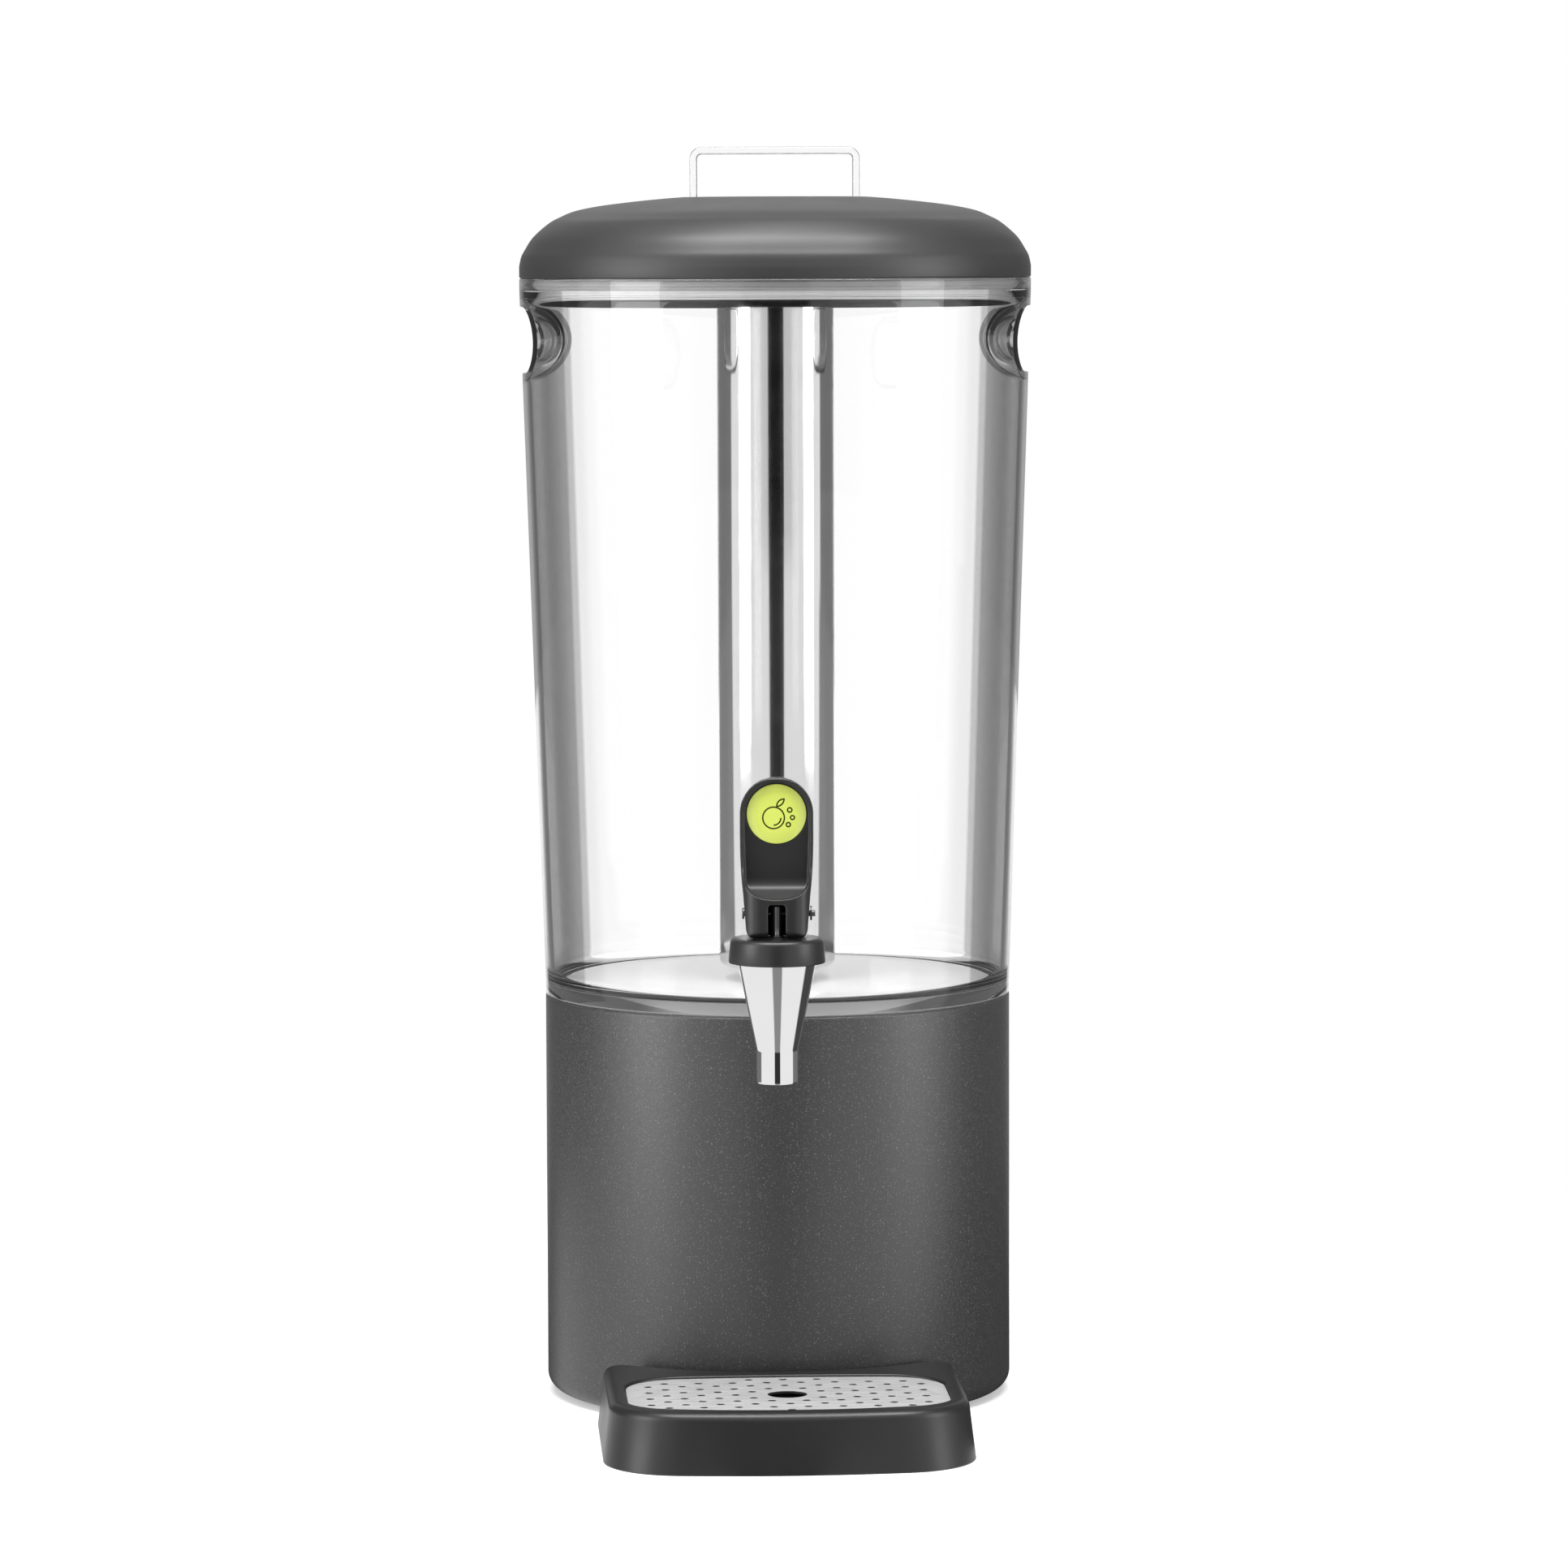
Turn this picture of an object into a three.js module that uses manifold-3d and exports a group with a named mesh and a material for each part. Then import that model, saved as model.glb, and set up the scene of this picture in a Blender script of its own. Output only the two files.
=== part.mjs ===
// A cold juice dispenser: a clear tapered container on a round metal base, with a domed lid,
// a steel ice tube hanging from the lid, a lever tap at the front and a drip tray under the tap.
// Lengths are millimetres and +Z is up. The origin is on the dispenser's upright axis at table
// height, the tap and the tray point to -Y, and +X is to the right of someone facing the tap.

import * as THREE from 'three';
import { mergeVertices } from 'three/addons/utils/BufferGeometryUtils.js';
import Module from 'manifold-3d';

const wasm = await Module();
wasm.setup();

// How finely round shapes are cut
const largeSides = 44;
const mediumSides = 24;
const washerSides = 20;
const smallSides = 12;
const holeSides = 6;
const drainSides = 20;
const hexagonSides = 6;
const domeSteps = 10;
const bowlSteps = 3;
const bowlSides = 24;
const arcSteps = 4;
const cornerSteps = 6;
const curveSteps = 5;
const insideSteps = 2;

// General clearances
const overrun = 2;
const runningGap = 0.3;

// Base: a drawn metal can, open at the top, on a non-slip pad
const baseRadius = 100;
const baseTop = 173;
const baseWall = 2;
const baseFootRound = 7;
const baseRimRound = 1.5;
const baseLipWidth = 8;
const padRadius = 88;
const padThickness = 1.5;

// Container: a clear moulded vessel with draft, standing on the base's lip
const containerHeight = 307;
const containerFlare = 9.5;
const containerWall = 3.5;
const containerFloor = 5;
const containerFloorRound = 6;
const containerSkirtHeight = 6.4;
const containerEdgeRound = 0.8;
const rimBandHeight = 5;
const rimBandWall = 5;
const rimBlendHeight = 3;
const spigotDepth = 8;
const spigotWall = 4;
const spigotClearance = 0.6;

// Hand grips: a scooped pocket on the left and on the right of the container
const gripDepth = 18;
const gripHeight = 28.7;
const gripLength = 76;
const gripDrop = 26.3;
const gripOutset = 0.5;

// Tap seat: where the tap's shank goes through the container's wall
const tapRise = 20;
const tapOutset = 50;
const seatFlatDepth = 1.1;
const seatThickness = 3.4;
const seatRadius = 15;
const seatReliefClearance = 1;
const seatHoleClearance = 0.5;

// Tap body: outlet, cone, neck and shank
const outletRadius = 8.5;
const outletWall = 2;
const outletLength = 13.7;
const outletDrop = 41;
const outletEdge = 0.5;
const coneHeight = 35.6;
const coneTopRadius = 16.1;
const valveSeatRise = 2.3;
const chamberShoulderDrop = 3.3;
const neckRadius = 14.5;
const neckWall = 2;
const shankRadius = 7.5;
const shankThreadRadius = 7;
const shankBore = 4.5;
const shankEnd = 2.4;
const flangeRadius = 13;
const flangeThickness = 3;
const frontGasketThickness = 2;
const rearGasketThickness = 1.5;
const gasketRadius = 12.5;
const tapNutAcrossCorners = 24;
const tapNutThickness = 6;

// Bonnet: the black collar screwed on the tap's neck
const bonnetRadius = 19.85;
const bonnetTopRadius = 19.2;
const bonnetHeight = 10.3;
const bonnetPlate = 3.3;
const bonnetRound = 2.2;
const bonnetGasketThickness = 1.1;
const bonnetGasketWall = 1.6;

// Valve: stem, silicone cup and spring
const stemRadius = 2.65;
const stemChamfer = 0.5;
const stemTopRise = 3.4;
const stemInCup = 4.3;
const cupHeight = 6.8;
const cupRise = 1.5;
const stemCollarRadius = 6.4;
const stemCollarThickness = 1.2;
const springRadius = 5.2;
const springWire = 1;
const springTurns = 6;
const springStepsPerTurn = 8;
const springSides = 5;

// Lever: a thumb paddle on a block with a rounded cam heel
const pinHeight = 28.8;
const pinRadius = 1.25;
const pinHeadRadius = 2.3;
const pinHeadThickness = 0.9;
const pinTail = 1.6;
const clipRadius = 3;
const clipThickness = 0.8;
const clipOpening = 2;
const heelRadius = 9.6;
const heelForward = 7;
const leverFront = 14;
const leverRear = 9;
const leverRearRound = 3;
const leverSoleHalfWidth = 8.2;
const leverFootHalfWidth = 12.7;
const leverFootRise = 5.6;
const leverShelfHalfWidth = 13.7;
const leverShelfHeight = 8.3;
const leverHalfWidth = 15;
const leverShoulderHeight = 33;
const leverCrownHeight = 41.1;
const leverCornerRound = 7;
const paddleFront = 6;
const paddleBack = 0.4;
const paddleTopRound = 1.6;
const scoopRim = 1.4;
const scoopDepth = 2.6;
const scoopLipHeight = 6.8;
const scoopBendHeight = 15;
const slotHalfWidth = 3.6;
const slotRound = 1.4;
const slotClearance = 0.35;
const badgeRadius = 12.2;
const badgeThickness = 1.2;
const badgeRecess = 0.5;

// Lid: a thin moulded dome with a round recess for the handle
const lidWall = 2.5;
const lidEdgeHeight = 5;
const domeRise = 30.2;
const skirtDepth = 8;
const skirtWall = 2.5;
const skirtClearance = 0.7;
const sealHeight = 6.6;
const sealWall = 1.3;
const sealFootRise = 0.9;
const recessMargin = 2.25;
const recessDepth = 9.7;
const recessEdge = 1.4;
const recessEdgeDepth = 2.1;
const bossWall = 2.7;
const bossDepth = 17;

// The dome's outline from its edge to its crown: shares of the lid's radius and of the dome's rise
const domeRadiusShares = [1, 0.992, 0.979, 0.9452, 0.8877, 0.8429, 0.7662, 0.611, 0.338, 0];
const domeRiseShares = [0, 0.132, 0.225, 0.411, 0.596, 0.689, 0.795, 0.887, 0.977, 1];

// Handle: a bent clear strip with its feet turned in under two screws
const handleDepth = 18;
const handleHeight = 30.1;
const handleThickness = 3;
const handleRound = 5;
const handleFoot = 10;
const screwInset = 4.85;
const screwRadius = 1.5;
const screwHeadRadius = 2.8;
const screwHeadHeight = 1.8;
const screwTip = 1;
const handleNutAcrossFlats = 5.5;
const handleNutThickness = 2.4;
const handleNutClearance = 0.65;

// Ice tube: a steel tube with a closed foot, carried by a collar that screws on the lid's boss
const tubeRadius = 25;
const tubeWall = 1;
const tubeFootRound = 3;
const tubeFloorGap = 6;
const collarWall = 3.2;
const collarDepth = 15.5;
const collarFlange = 1.5;
const tubeGasketThickness = 1;
const tubeGasketWall = 4;

// Drip tray: a moulded black tray, hollow below, standing against the base
const trayTurn = THREE.MathUtils.degToRad(3.1);
const trayShift = 4.75;
const trayHeight = 25;
const traySide = 76.15;
const trayLength = 108.45;
const trayFrontRadius = 360;
const trayBackGap = 0.4;
const trayBackPlay = 3.1;
const trayTaper = 2.4;
const trayCorner = 33.3;
const trayEar = 8;
const trayTopRound = 4;
const trayWall = 3;
const basinFloorHeight = 3;
const basinMargin = 3.2;

// Grille: a flat steel plate with a slanted grid of small holes and a drain hole
const grilleOutset = 55.4;
const grilleWidth = 132;
const grilleDepth = 81;
const grilleBackRadius = 600;
const grilleBackCorner = 24.5;
const grilleFrontRadius = 228;
const grilleFrontCorner = 20.5;
const grilleThickness = 1.2;
const grilleSink = 1;
const holePitch = 14.142;
const holeRadius = 1.6;
const holeMargin = 4.7;
const drainRadius = 8;

// Places that several pieces share
const containerTop = baseTop + containerHeight;
const lipBore = baseRadius - baseLipWidth;
const containerRimRadius = baseRadius + containerFlare;
const rimBore = containerRimRadius - rimBandWall;
const skirtRadius = rimBore - skirtClearance;
const taperStart = baseTop + containerSkirtHeight;
const taperEnd = containerTop - rimBandHeight;
const recessFloor = containerTop + lidEdgeHeight + domeRise - recessDepth;
const recessUnderside = recessFloor - lidWall;
const screwPlace = tubeRadius + handleNutAcrossFlats / 2 + handleNutClearance;
const handleWidth = (screwPlace + screwInset + handleThickness) * 2;
const recessRadius = handleWidth / 2 + recessMargin;
const screwHole = screwRadius + runningGap;
const trayBack = baseRadius + trayBackGap + trayBackPlay;
const trayFront = baseRadius + trayLength;
const grilleForward = baseRadius + grilleOutset;
const tapReach = baseRadius + tapOutset;
const tapHeight = baseTop + tapRise;
const shankHole = shankThreadRadius + seatHoleClearance;
const tubeBore = tubeRadius - tubeWall;
const collarRadius = tubeBore - runningGap;
const collarBore = collarRadius - collarWall;
const bossRadius = collarBore - runningGap;

// Materials
const plastic = { metalness: 0, roughness: 0.5 };
const materials = {
  blackPlastic: new THREE.MeshStandardMaterial({ ...plastic, color: 0x2b2b2c }),
  powderCoat: new THREE.MeshStandardMaterial({ color: 0x48484a, metalness: 0.3, roughness: 0.6 }),
  clearPlastic: new THREE.MeshStandardMaterial({
    color: 0xe9eef0,
    metalness: 0,
    roughness: 0.05,
    transparent: true,
    opacity: 0.3,
  }),
  chrome: new THREE.MeshStandardMaterial({ color: 0xdcdcde, metalness: 1, roughness: 0.08 }),
  steel: new THREE.MeshStandardMaterial({ color: 0xc9c9cb, metalness: 1, roughness: 0.25 }),
  silicone: new THREE.MeshStandardMaterial({ ...plastic, color: 0xd8d8d4 }),
  rubber: new THREE.MeshStandardMaterial({ ...plastic, color: 0x1c1c1c }),
  limeBadge: new THREE.MeshStandardMaterial({ ...plastic, color: 0xd7e36b }),
};

// A closed geometry made a solid. Its corners are merged first, and it is turned the right way out.
function solidOf(geometry) {
  const bare = new THREE.BufferGeometry();
  bare.setAttribute('position', geometry.getAttribute('position'));
  bare.setIndex(geometry.index);
  const merged = mergeVertices(bare);
  const index = merged.index.array;
  const triangles = [];
  for (let i = 0; i < index.length; i += 3) {
    const [a, b, c] = [index[i], index[i + 1], index[i + 2]];
    if (a !== b && b !== c && c !== a) triangles.push([a, b, c]);
  }
  const corners = merged.getAttribute('position');
  const [p, q, r] = [new THREE.Vector3(), new THREE.Vector3(), new THREE.Vector3()];
  let volume = 0;
  for (const [a, b, c] of triangles) {
    p.fromBufferAttribute(corners, a);
    q.fromBufferAttribute(corners, b);
    r.fromBufferAttribute(corners, c);
    volume += p.dot(q.cross(r));
  }
  if (volume < 0) triangles.forEach((triangle) => triangle.reverse());
  return new wasm.Manifold(new wasm.Mesh({
    numProp: 3,
    vertProperties: new Float32Array(corners.array),
    triVerts: new Uint32Array(triangles.flat()),
  }));
}

// A solid made a geometry with flat faces
function geometryOf(solid) {
  const mesh = solid.getMesh();
  const indexed = new THREE.BufferGeometry();
  indexed.setAttribute('position', new THREE.BufferAttribute(mesh.vertProperties, mesh.numProp));
  indexed.setIndex(new THREE.BufferAttribute(mesh.triVerts, 1));
  const geometry = indexed.toNonIndexed();
  geometry.computeVertexNormals();
  return geometry;
}

function addPiece(group, name, solid, material) {
  const mesh = new THREE.Mesh(geometryOf(solid), material);
  mesh.name = name;
  group.add(mesh);
  return mesh;
}

// Points on an arc about a centre, angles in degrees
function arc(centreX, centreY, radius, from, to, steps = arcSteps) {
  const points = [];
  for (let i = 0; i <= steps; i += 1) {
    const angle = THREE.MathUtils.degToRad(from + ((to - from) * i) / steps);
    points.push([centreX + radius * Math.cos(angle), centreY + radius * Math.sin(angle)]);
  }
  return points;
}

function vectors(points) {
  return points.map(([x, y]) => new THREE.Vector2(x, y));
}

// A profile of radius and height turned about the upright axis
function turned(profile, sides = largeSides) {
  const points = vectors(profile);
  const startsOnAxis = points[0].x === 0 && points[points.length - 1].x === 0;
  if (!startsOnAxis) points.push(points[0].clone());
  const geometry = new THREE.LatheGeometry(points, sides);
  geometry.rotateX(Math.PI / 2);
  return solidOf(geometry);
}

// A flat ring or disc between two heights
function ring(bore, radius, bottom, top, sides = mediumSides) {
  if (bore === 0) return turned([[0, bottom], [radius, bottom], [radius, top], [0, top]], sides);
  return turned([[bore, bottom], [radius, bottom], [radius, top], [bore, top]], sides);
}

// How an outline is extruded: to a depth, with square ends
function flatEnds(depth) {
  return { depth, bevelEnabled: false, curveSegments: curveSteps };
}

// A plan outline raised between two heights
function raised(shape, bottom, top) {
  const geometry = new THREE.ExtrudeGeometry(shape, flatEnds(top - bottom));
  geometry.translate(0, 0, bottom);
  return solidOf(geometry);
}

// A front outline, in X and height, carried from one place along Y to another further back
function frontSolid(shape, near, far) {
  const geometry = new THREE.ExtrudeGeometry(shape, flatEnds(far - near));
  geometry.rotateX(Math.PI / 2);
  geometry.translate(0, far, 0);
  return solidOf(geometry);
}

// A side outline, in Y and height, carried from left to right
function sideSolid(shape, left, right) {
  const geometry = new THREE.ExtrudeGeometry(shape, flatEnds(right - left));
  geometry.rotateX(Math.PI / 2);
  geometry.rotateZ(Math.PI / 2);
  geometry.translate(left, 0, 0);
  return solidOf(geometry);
}

// A round rod along Y between two places
function rodAlongY(radius, near, far, height = 0, sides = mediumSides) {
  const geometry = new THREE.CylinderGeometry(radius, radius, far - near, sides);
  geometry.translate(0, (near + far) / 2, height);
  return solidOf(geometry);
}

// A round rod along X between two places
function rodAlongX(radius, left, right, sides = smallSides) {
  const geometry = new THREE.CylinderGeometry(radius, radius, right - left, sides);
  geometry.rotateZ(Math.PI / 2);
  geometry.translate((left + right) / 2, 0, 0);
  return solidOf(geometry);
}

// A skin through outlines of equally many points, each at its own height, closed at both ends
function lofted(rings) {
  const count = rings[0].outline.length;
  const corners = [];
  for (const { outline, height } of rings) {
    for (const [x, y] of outline) corners.push(x, y, height);
  }
  const triangles = [];
  for (let level = 0; level < rings.length - 1; level += 1) {
    for (let i = 0; i < count; i += 1) {
      const next = (i + 1) % count;
      const low = level * count;
      const high = low + count;
      triangles.push(low + i, low + next, high + next, low + i, high + next, high + i);
    }
  }
  const last = (rings.length - 1) * count;
  for (const [a, b, c] of THREE.ShapeUtils.triangulateShape(vectors(rings[0].outline), [])) {
    triangles.push(a, c, b);
    triangles.push(last + a, last + b, last + c);
  }
  const geometry = new THREE.BufferGeometry();
  geometry.setAttribute('position', new THREE.Float32BufferAttribute(corners, 3));
  geometry.setIndex(triangles);
  return solidOf(geometry);
}

// The container's outer radius at a height: it widens from its skirt to its rim
function containerRadiusAt(height) {
  const share = THREE.MathUtils.clamp((height - taperStart) / (taperEnd - taperStart), 0, 1);
  return THREE.MathUtils.lerp(baseRadius, containerRimRadius, share);
}

const dispenser = new THREE.Group();

// Base
function makeBase() {
  const bottom = padThickness;
  const footCentre = baseRadius - baseFootRound;
  const shell = turned([
    [0, bottom],
    ...arc(footCentre, bottom + baseFootRound, baseFootRound, -90, 0),
    ...arc(baseRadius - baseRimRound, baseTop - baseRimRound, baseRimRound, 0, 90, 2),
    [lipBore, baseTop],
    [lipBore, baseTop - baseWall],
    [baseRadius - baseWall, baseTop - baseWall],
    ...arc(footCentre, bottom + baseFootRound, baseFootRound - baseWall, 0, -90, insideSteps),
    [0, bottom + baseWall],
  ]);
  addPiece(dispenser, 'base_shell', shell, materials.powderCoat);
  addPiece(dispenser, 'base_pad', ring(0, padRadius, 0, padThickness), materials.rubber);
}

// Container
function containerEnvelope() {
  return turned([
    [0, baseTop],
    [baseRadius - containerEdgeRound, baseTop],
    [baseRadius, baseTop + containerEdgeRound],
    [baseRadius, taperStart],
    [containerRimRadius, taperEnd],
    [containerRimRadius, containerTop - containerEdgeRound],
    [containerRimRadius - containerEdgeRound, containerTop],
    [0, containerTop],
  ]);
}

function containerHollow() {
  const floor = baseTop + containerFloor;
  const blendEnd = taperEnd - rimBlendHeight;
  const roundTop = floor + containerFloorRound;
  const roundCentre = containerRadiusAt(roundTop) - containerWall - containerFloorRound;
  return turned([
    [0, floor],
    ...arc(roundCentre, roundTop, containerFloorRound, -90, 0, insideSteps),
    [containerRadiusAt(blendEnd) - containerWall, blendEnd],
    [rimBore, taperEnd],
    [rimBore, containerTop + overrun],
    [0, containerTop + overrun],
  ]);
}

// The scooped bowl of a hand grip, or with a wall added the moulding round it
function gripBowl(side, wall) {
  const across = gripDepth + wall;
  const straight = gripLength - gripDepth * 2;
  const geometry = new THREE.CapsuleGeometry(across, straight, bowlSteps, bowlSides);
  geometry.scale(1, 1, (gripHeight / 2 + wall) / across);
  geometry.translate(side * (containerRimRadius + gripOutset), 0, containerTop - gripDrop);
  return solidOf(geometry);
}

function makeContainer() {
  const envelope = containerEnvelope();
  const seatFace = containerRadiusAt(tapHeight) - seatFlatDepth;
  const seatBack = seatFace - seatThickness;
  let vessel = envelope.subtract(containerHollow());
  for (const side of [-1, 1]) vessel = vessel.add(gripBowl(side, containerWall).intersect(envelope));
  for (const side of [-1, 1]) vessel = vessel.subtract(gripBowl(side, 0));
  const spigotRadius = lipBore - spigotClearance;
  vessel = vessel
    .add(ring(spigotRadius - spigotWall, spigotRadius, baseTop - spigotDepth, baseTop + overrun, largeSides))
    .add(rodAlongY(seatRadius, -seatFace, -seatBack, tapHeight))
    .subtract(rodAlongY(gasketRadius + seatReliefClearance, -seatBack, -seatBack + seatRadius, tapHeight))
    .subtract(rodAlongY(seatRadius, -seatFace - seatRadius, -seatFace, tapHeight))
    .subtract(rodAlongY(shankHole, -seatFace - seatRadius, -seatBack + overrun, tapHeight));
  addPiece(dispenser, 'container', vessel, materials.clearPlastic);
}

// Tap, in a group whose origin is where the spout's axis meets the shank's
const spoutTip = -outletDrop;
const coneBottom = spoutTip + outletLength;
const coneTop = coneBottom + coneHeight;
const bonnetBottom = coneTop + runningGap;
const bonnetTop = bonnetBottom + bonnetHeight;
const bonnetUnderside = bonnetTop - bonnetPlate;
const neckTop = bonnetUnderside - bonnetGasketThickness;
const outletBore = outletRadius - outletWall;
const neckBore = neckRadius - neckWall;
const valveSeatBottom = coneBottom + valveSeatRise;
const chamberShoulder = coneTop - chamberShoulderDrop;
const seatSlope = (neckBore - outletBore) / (chamberShoulder - valveSeatBottom);
const wallFace = tapReach - (containerRadiusAt(tapHeight) - seatFlatDepth);
const wallBack = wallFace + seatThickness;
const cupBottom = valveSeatBottom + cupRise;
const cupTop = cupBottom + cupHeight;
const stemCollarTop = cupTop + stemCollarThickness;

function makeTapBody(tap) {
  const outside = turned([
    [0, spoutTip],
    [outletRadius - outletEdge, spoutTip],
    [outletRadius, spoutTip + outletEdge],
    [outletRadius, coneBottom],
    [coneTopRadius, coneTop],
    [neckRadius, coneTop],
    [neckRadius, neckTop],
    [0, neckTop],
  ], mediumSides);
  const chamber = turned([
    [0, spoutTip - overrun],
    [outletBore, spoutTip - overrun],
    [outletBore, valveSeatBottom],
    [neckBore, chamberShoulder],
    [neckBore, neckTop + overrun],
    [0, neckTop + overrun],
  ], mediumSides);
  const flangeBack = wallFace - frontGasketThickness;
  const shankTip = wallBack + rearGasketThickness + tapNutThickness + shankEnd;
  const body = outside
    .add(rodAlongY(shankRadius, 0, flangeBack - flangeThickness / 2))
    .add(rodAlongY(flangeRadius, flangeBack - flangeThickness, flangeBack))
    .add(rodAlongY(shankThreadRadius, flangeBack - flangeThickness / 2, shankTip))
    .subtract(chamber)
    .subtract(rodAlongY(shankBore, 0, shankTip + overrun));
  addPiece(tap, 'tap_body', body, materials.chrome);
}

// A flat washer on the shank, between two places along Y
function shankWasher(near, far) {
  const hole = rodAlongY(shankHole, near - overrun, far + overrun, 0, washerSides);
  return rodAlongY(gasketRadius, near, far, 0, washerSides).subtract(hole);
}

function makeShankFixing(tap) {
  const nutNear = wallBack + rearGasketThickness;
  const nutFar = nutNear + tapNutThickness;
  const hexagon = rodAlongY(tapNutAcrossCorners / 2, nutNear, nutFar, 0, hexagonSides);
  const thread = rodAlongY(shankThreadRadius + runningGap, nutNear - overrun, nutFar + overrun);
  const frontWasher = shankWasher(wallFace - frontGasketThickness, wallFace);
  addPiece(tap, 'tap_gasket_front', frontWasher, materials.silicone);
  addPiece(tap, 'tap_gasket_rear', shankWasher(wallBack, nutNear), materials.silicone);
  addPiece(tap, 'tap_nut', hexagon.subtract(thread), materials.blackPlastic);
}

function makeBonnet(tap) {
  const cap = turned([
    [neckRadius + runningGap, bonnetBottom],
    [bonnetRadius - outletEdge, bonnetBottom],
    [bonnetRadius, bonnetBottom + outletEdge],
    ...arc(bonnetTopRadius - bonnetRound, bonnetTop - bonnetRound, bonnetRound, 0, 90, 3),
    [stemRadius + runningGap, bonnetTop],
    [stemRadius + runningGap, bonnetUnderside],
    [neckRadius + runningGap, bonnetUnderside],
  ], mediumSides);
  addPiece(tap, 'tap_bonnet', cap, materials.blackPlastic);
  const gasketBore = neckRadius - bonnetGasketWall;
  const gasket = ring(gasketBore, neckRadius, neckTop, bonnetUnderside, mediumSides);
  addPiece(tap, 'bonnet_gasket', gasket, materials.silicone);
}

// The middle line of a coil spring that rises at an even pitch
class Helix extends THREE.Curve {
  constructor(radius, bottom, top, turns) {
    super();
    Object.assign(this, { radius, bottom, top, turns });
  }

  getPoint(share, target = new THREE.Vector3()) {
    const angle = share * this.turns * Math.PI * 2;
    const height = THREE.MathUtils.lerp(this.bottom, this.top, share);
    return target.set(this.radius * Math.cos(angle), this.radius * Math.sin(angle), height);
  }
}

function makeSpring(tap) {
  const endGap = runningGap + springWire / 2;
  const line = new Helix(springRadius, stemCollarTop + endGap, bonnetUnderside - endGap, springTurns);
  const section = new THREE.Shape(vectors(arc(0, 0, springWire / 2, 0, 360, springSides).slice(1)));
  const coil = new THREE.ExtrudeGeometry(section, {
    extrudePath: line,
    steps: springTurns * springStepsPerTurn,
  });
  addPiece(tap, 'valve_spring', solidOf(coil), materials.steel);
}

function makeValve(tap) {
  const stemTop = pinHeight + stemTopRise;
  const stem = turned([
    [0, cupTop - stemInCup],
    [stemRadius, cupTop - stemInCup],
    [stemRadius, cupTop],
    [stemCollarRadius, cupTop],
    [stemCollarRadius, stemCollarTop],
    [stemRadius, stemCollarTop],
    [stemRadius, stemTop - stemChamfer],
    [stemRadius - stemChamfer, stemTop],
    [0, stemTop],
  ], smallSides);
  const crossHole = rodAlongX(pinRadius + runningGap, -stemRadius - overrun, stemRadius + overrun);
  addPiece(tap, 'valve_stem', stem.subtract(crossHole.translate([0, 0, pinHeight])), materials.chrome);

  const cupRadiusAt = (height) => outletBore + (height - valveSeatBottom) * seatSlope - runningGap;
  const cup = turned([
    [0, cupBottom],
    [cupRadiusAt(cupBottom), cupBottom],
    [cupRadiusAt(cupTop), cupTop],
    [stemRadius + runningGap, cupTop],
    [stemRadius + runningGap, cupTop - stemInCup - runningGap],
    [0, cupTop - stemInCup - runningGap],
  ], mediumSides);
  addPiece(tap, 'valve_seat_cup', cup, materials.silicone);
}

// Lever, in a group whose origin is on its cross pin
function leverHalfWidthAt(height) {
  const footHeight = leverFootRise - heelRadius;
  const share = (height - footHeight) / (leverShelfHeight - footHeight);
  return THREE.MathUtils.lerp(leverFootHalfWidth, leverShelfHalfWidth, share);
}

function leverSideOutline() {
  const frontAngle = THREE.MathUtils.radToDeg(Math.asin((leverFront - heelForward) / heelRadius));
  const crown = leverCrownHeight + leverHalfWidth;
  const outline = new THREE.Shape(vectors([
    ...arc(leverRear - leverRearRound, leverRearRound - heelRadius, leverRearRound, 0, -90),
    ...arc(-heelForward, 0, heelRadius, -90, -90 - frontAngle, arcSteps * 2),
    [-leverFront, leverShelfHeight],
  ]));
  outline.quadraticCurveTo(-heelForward, leverShelfHeight + heelForward, -paddleFront, leverShoulderHeight);
  outline.lineTo(-paddleFront, crown - paddleTopRound);
  outline.lineTo(-paddleFront + paddleTopRound, crown);
  outline.lineTo(-paddleBack - paddleTopRound, crown);
  outline.lineTo(-paddleBack, crown - paddleTopRound);
  outline.lineTo(paddleBack, leverShoulderHeight);
  outline.quadraticCurveTo(stemRadius, scoopBendHeight + leverFootRise, leverRear, scoopBendHeight);
  return outline;
}

function leverFrontOutline() {
  const half = leverHalfWidth;
  const shelfHalf = leverShelfHalfWidth;
  const footHalf = leverFootHalfWidth;
  const footHeight = leverFootRise - heelRadius;
  const outline = new THREE.Shape();
  outline.moveTo(-leverSoleHalfWidth, -heelRadius);
  outline.lineTo(leverSoleHalfWidth, -heelRadius);
  outline.quadraticCurveTo(footHalf, -heelRadius, footHalf, footHeight);
  outline.lineTo(shelfHalf, leverShelfHeight);
  outline.quadraticCurveTo(half, leverShoulderHeight - leverFront, half, leverShoulderHeight);
  outline.lineTo(half, leverCrownHeight);
  outline.absarc(0, leverCrownHeight, half, 0, Math.PI);
  outline.lineTo(-half, leverShoulderHeight);
  outline.quadraticCurveTo(-half, leverShoulderHeight - leverFront, -shelfHalf, leverShelfHeight);
  outline.lineTo(-footHalf, footHeight);
  outline.quadraticCurveTo(-footHalf, -heelRadius, -leverSoleHalfWidth, -heelRadius);
  return outline;
}

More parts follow.
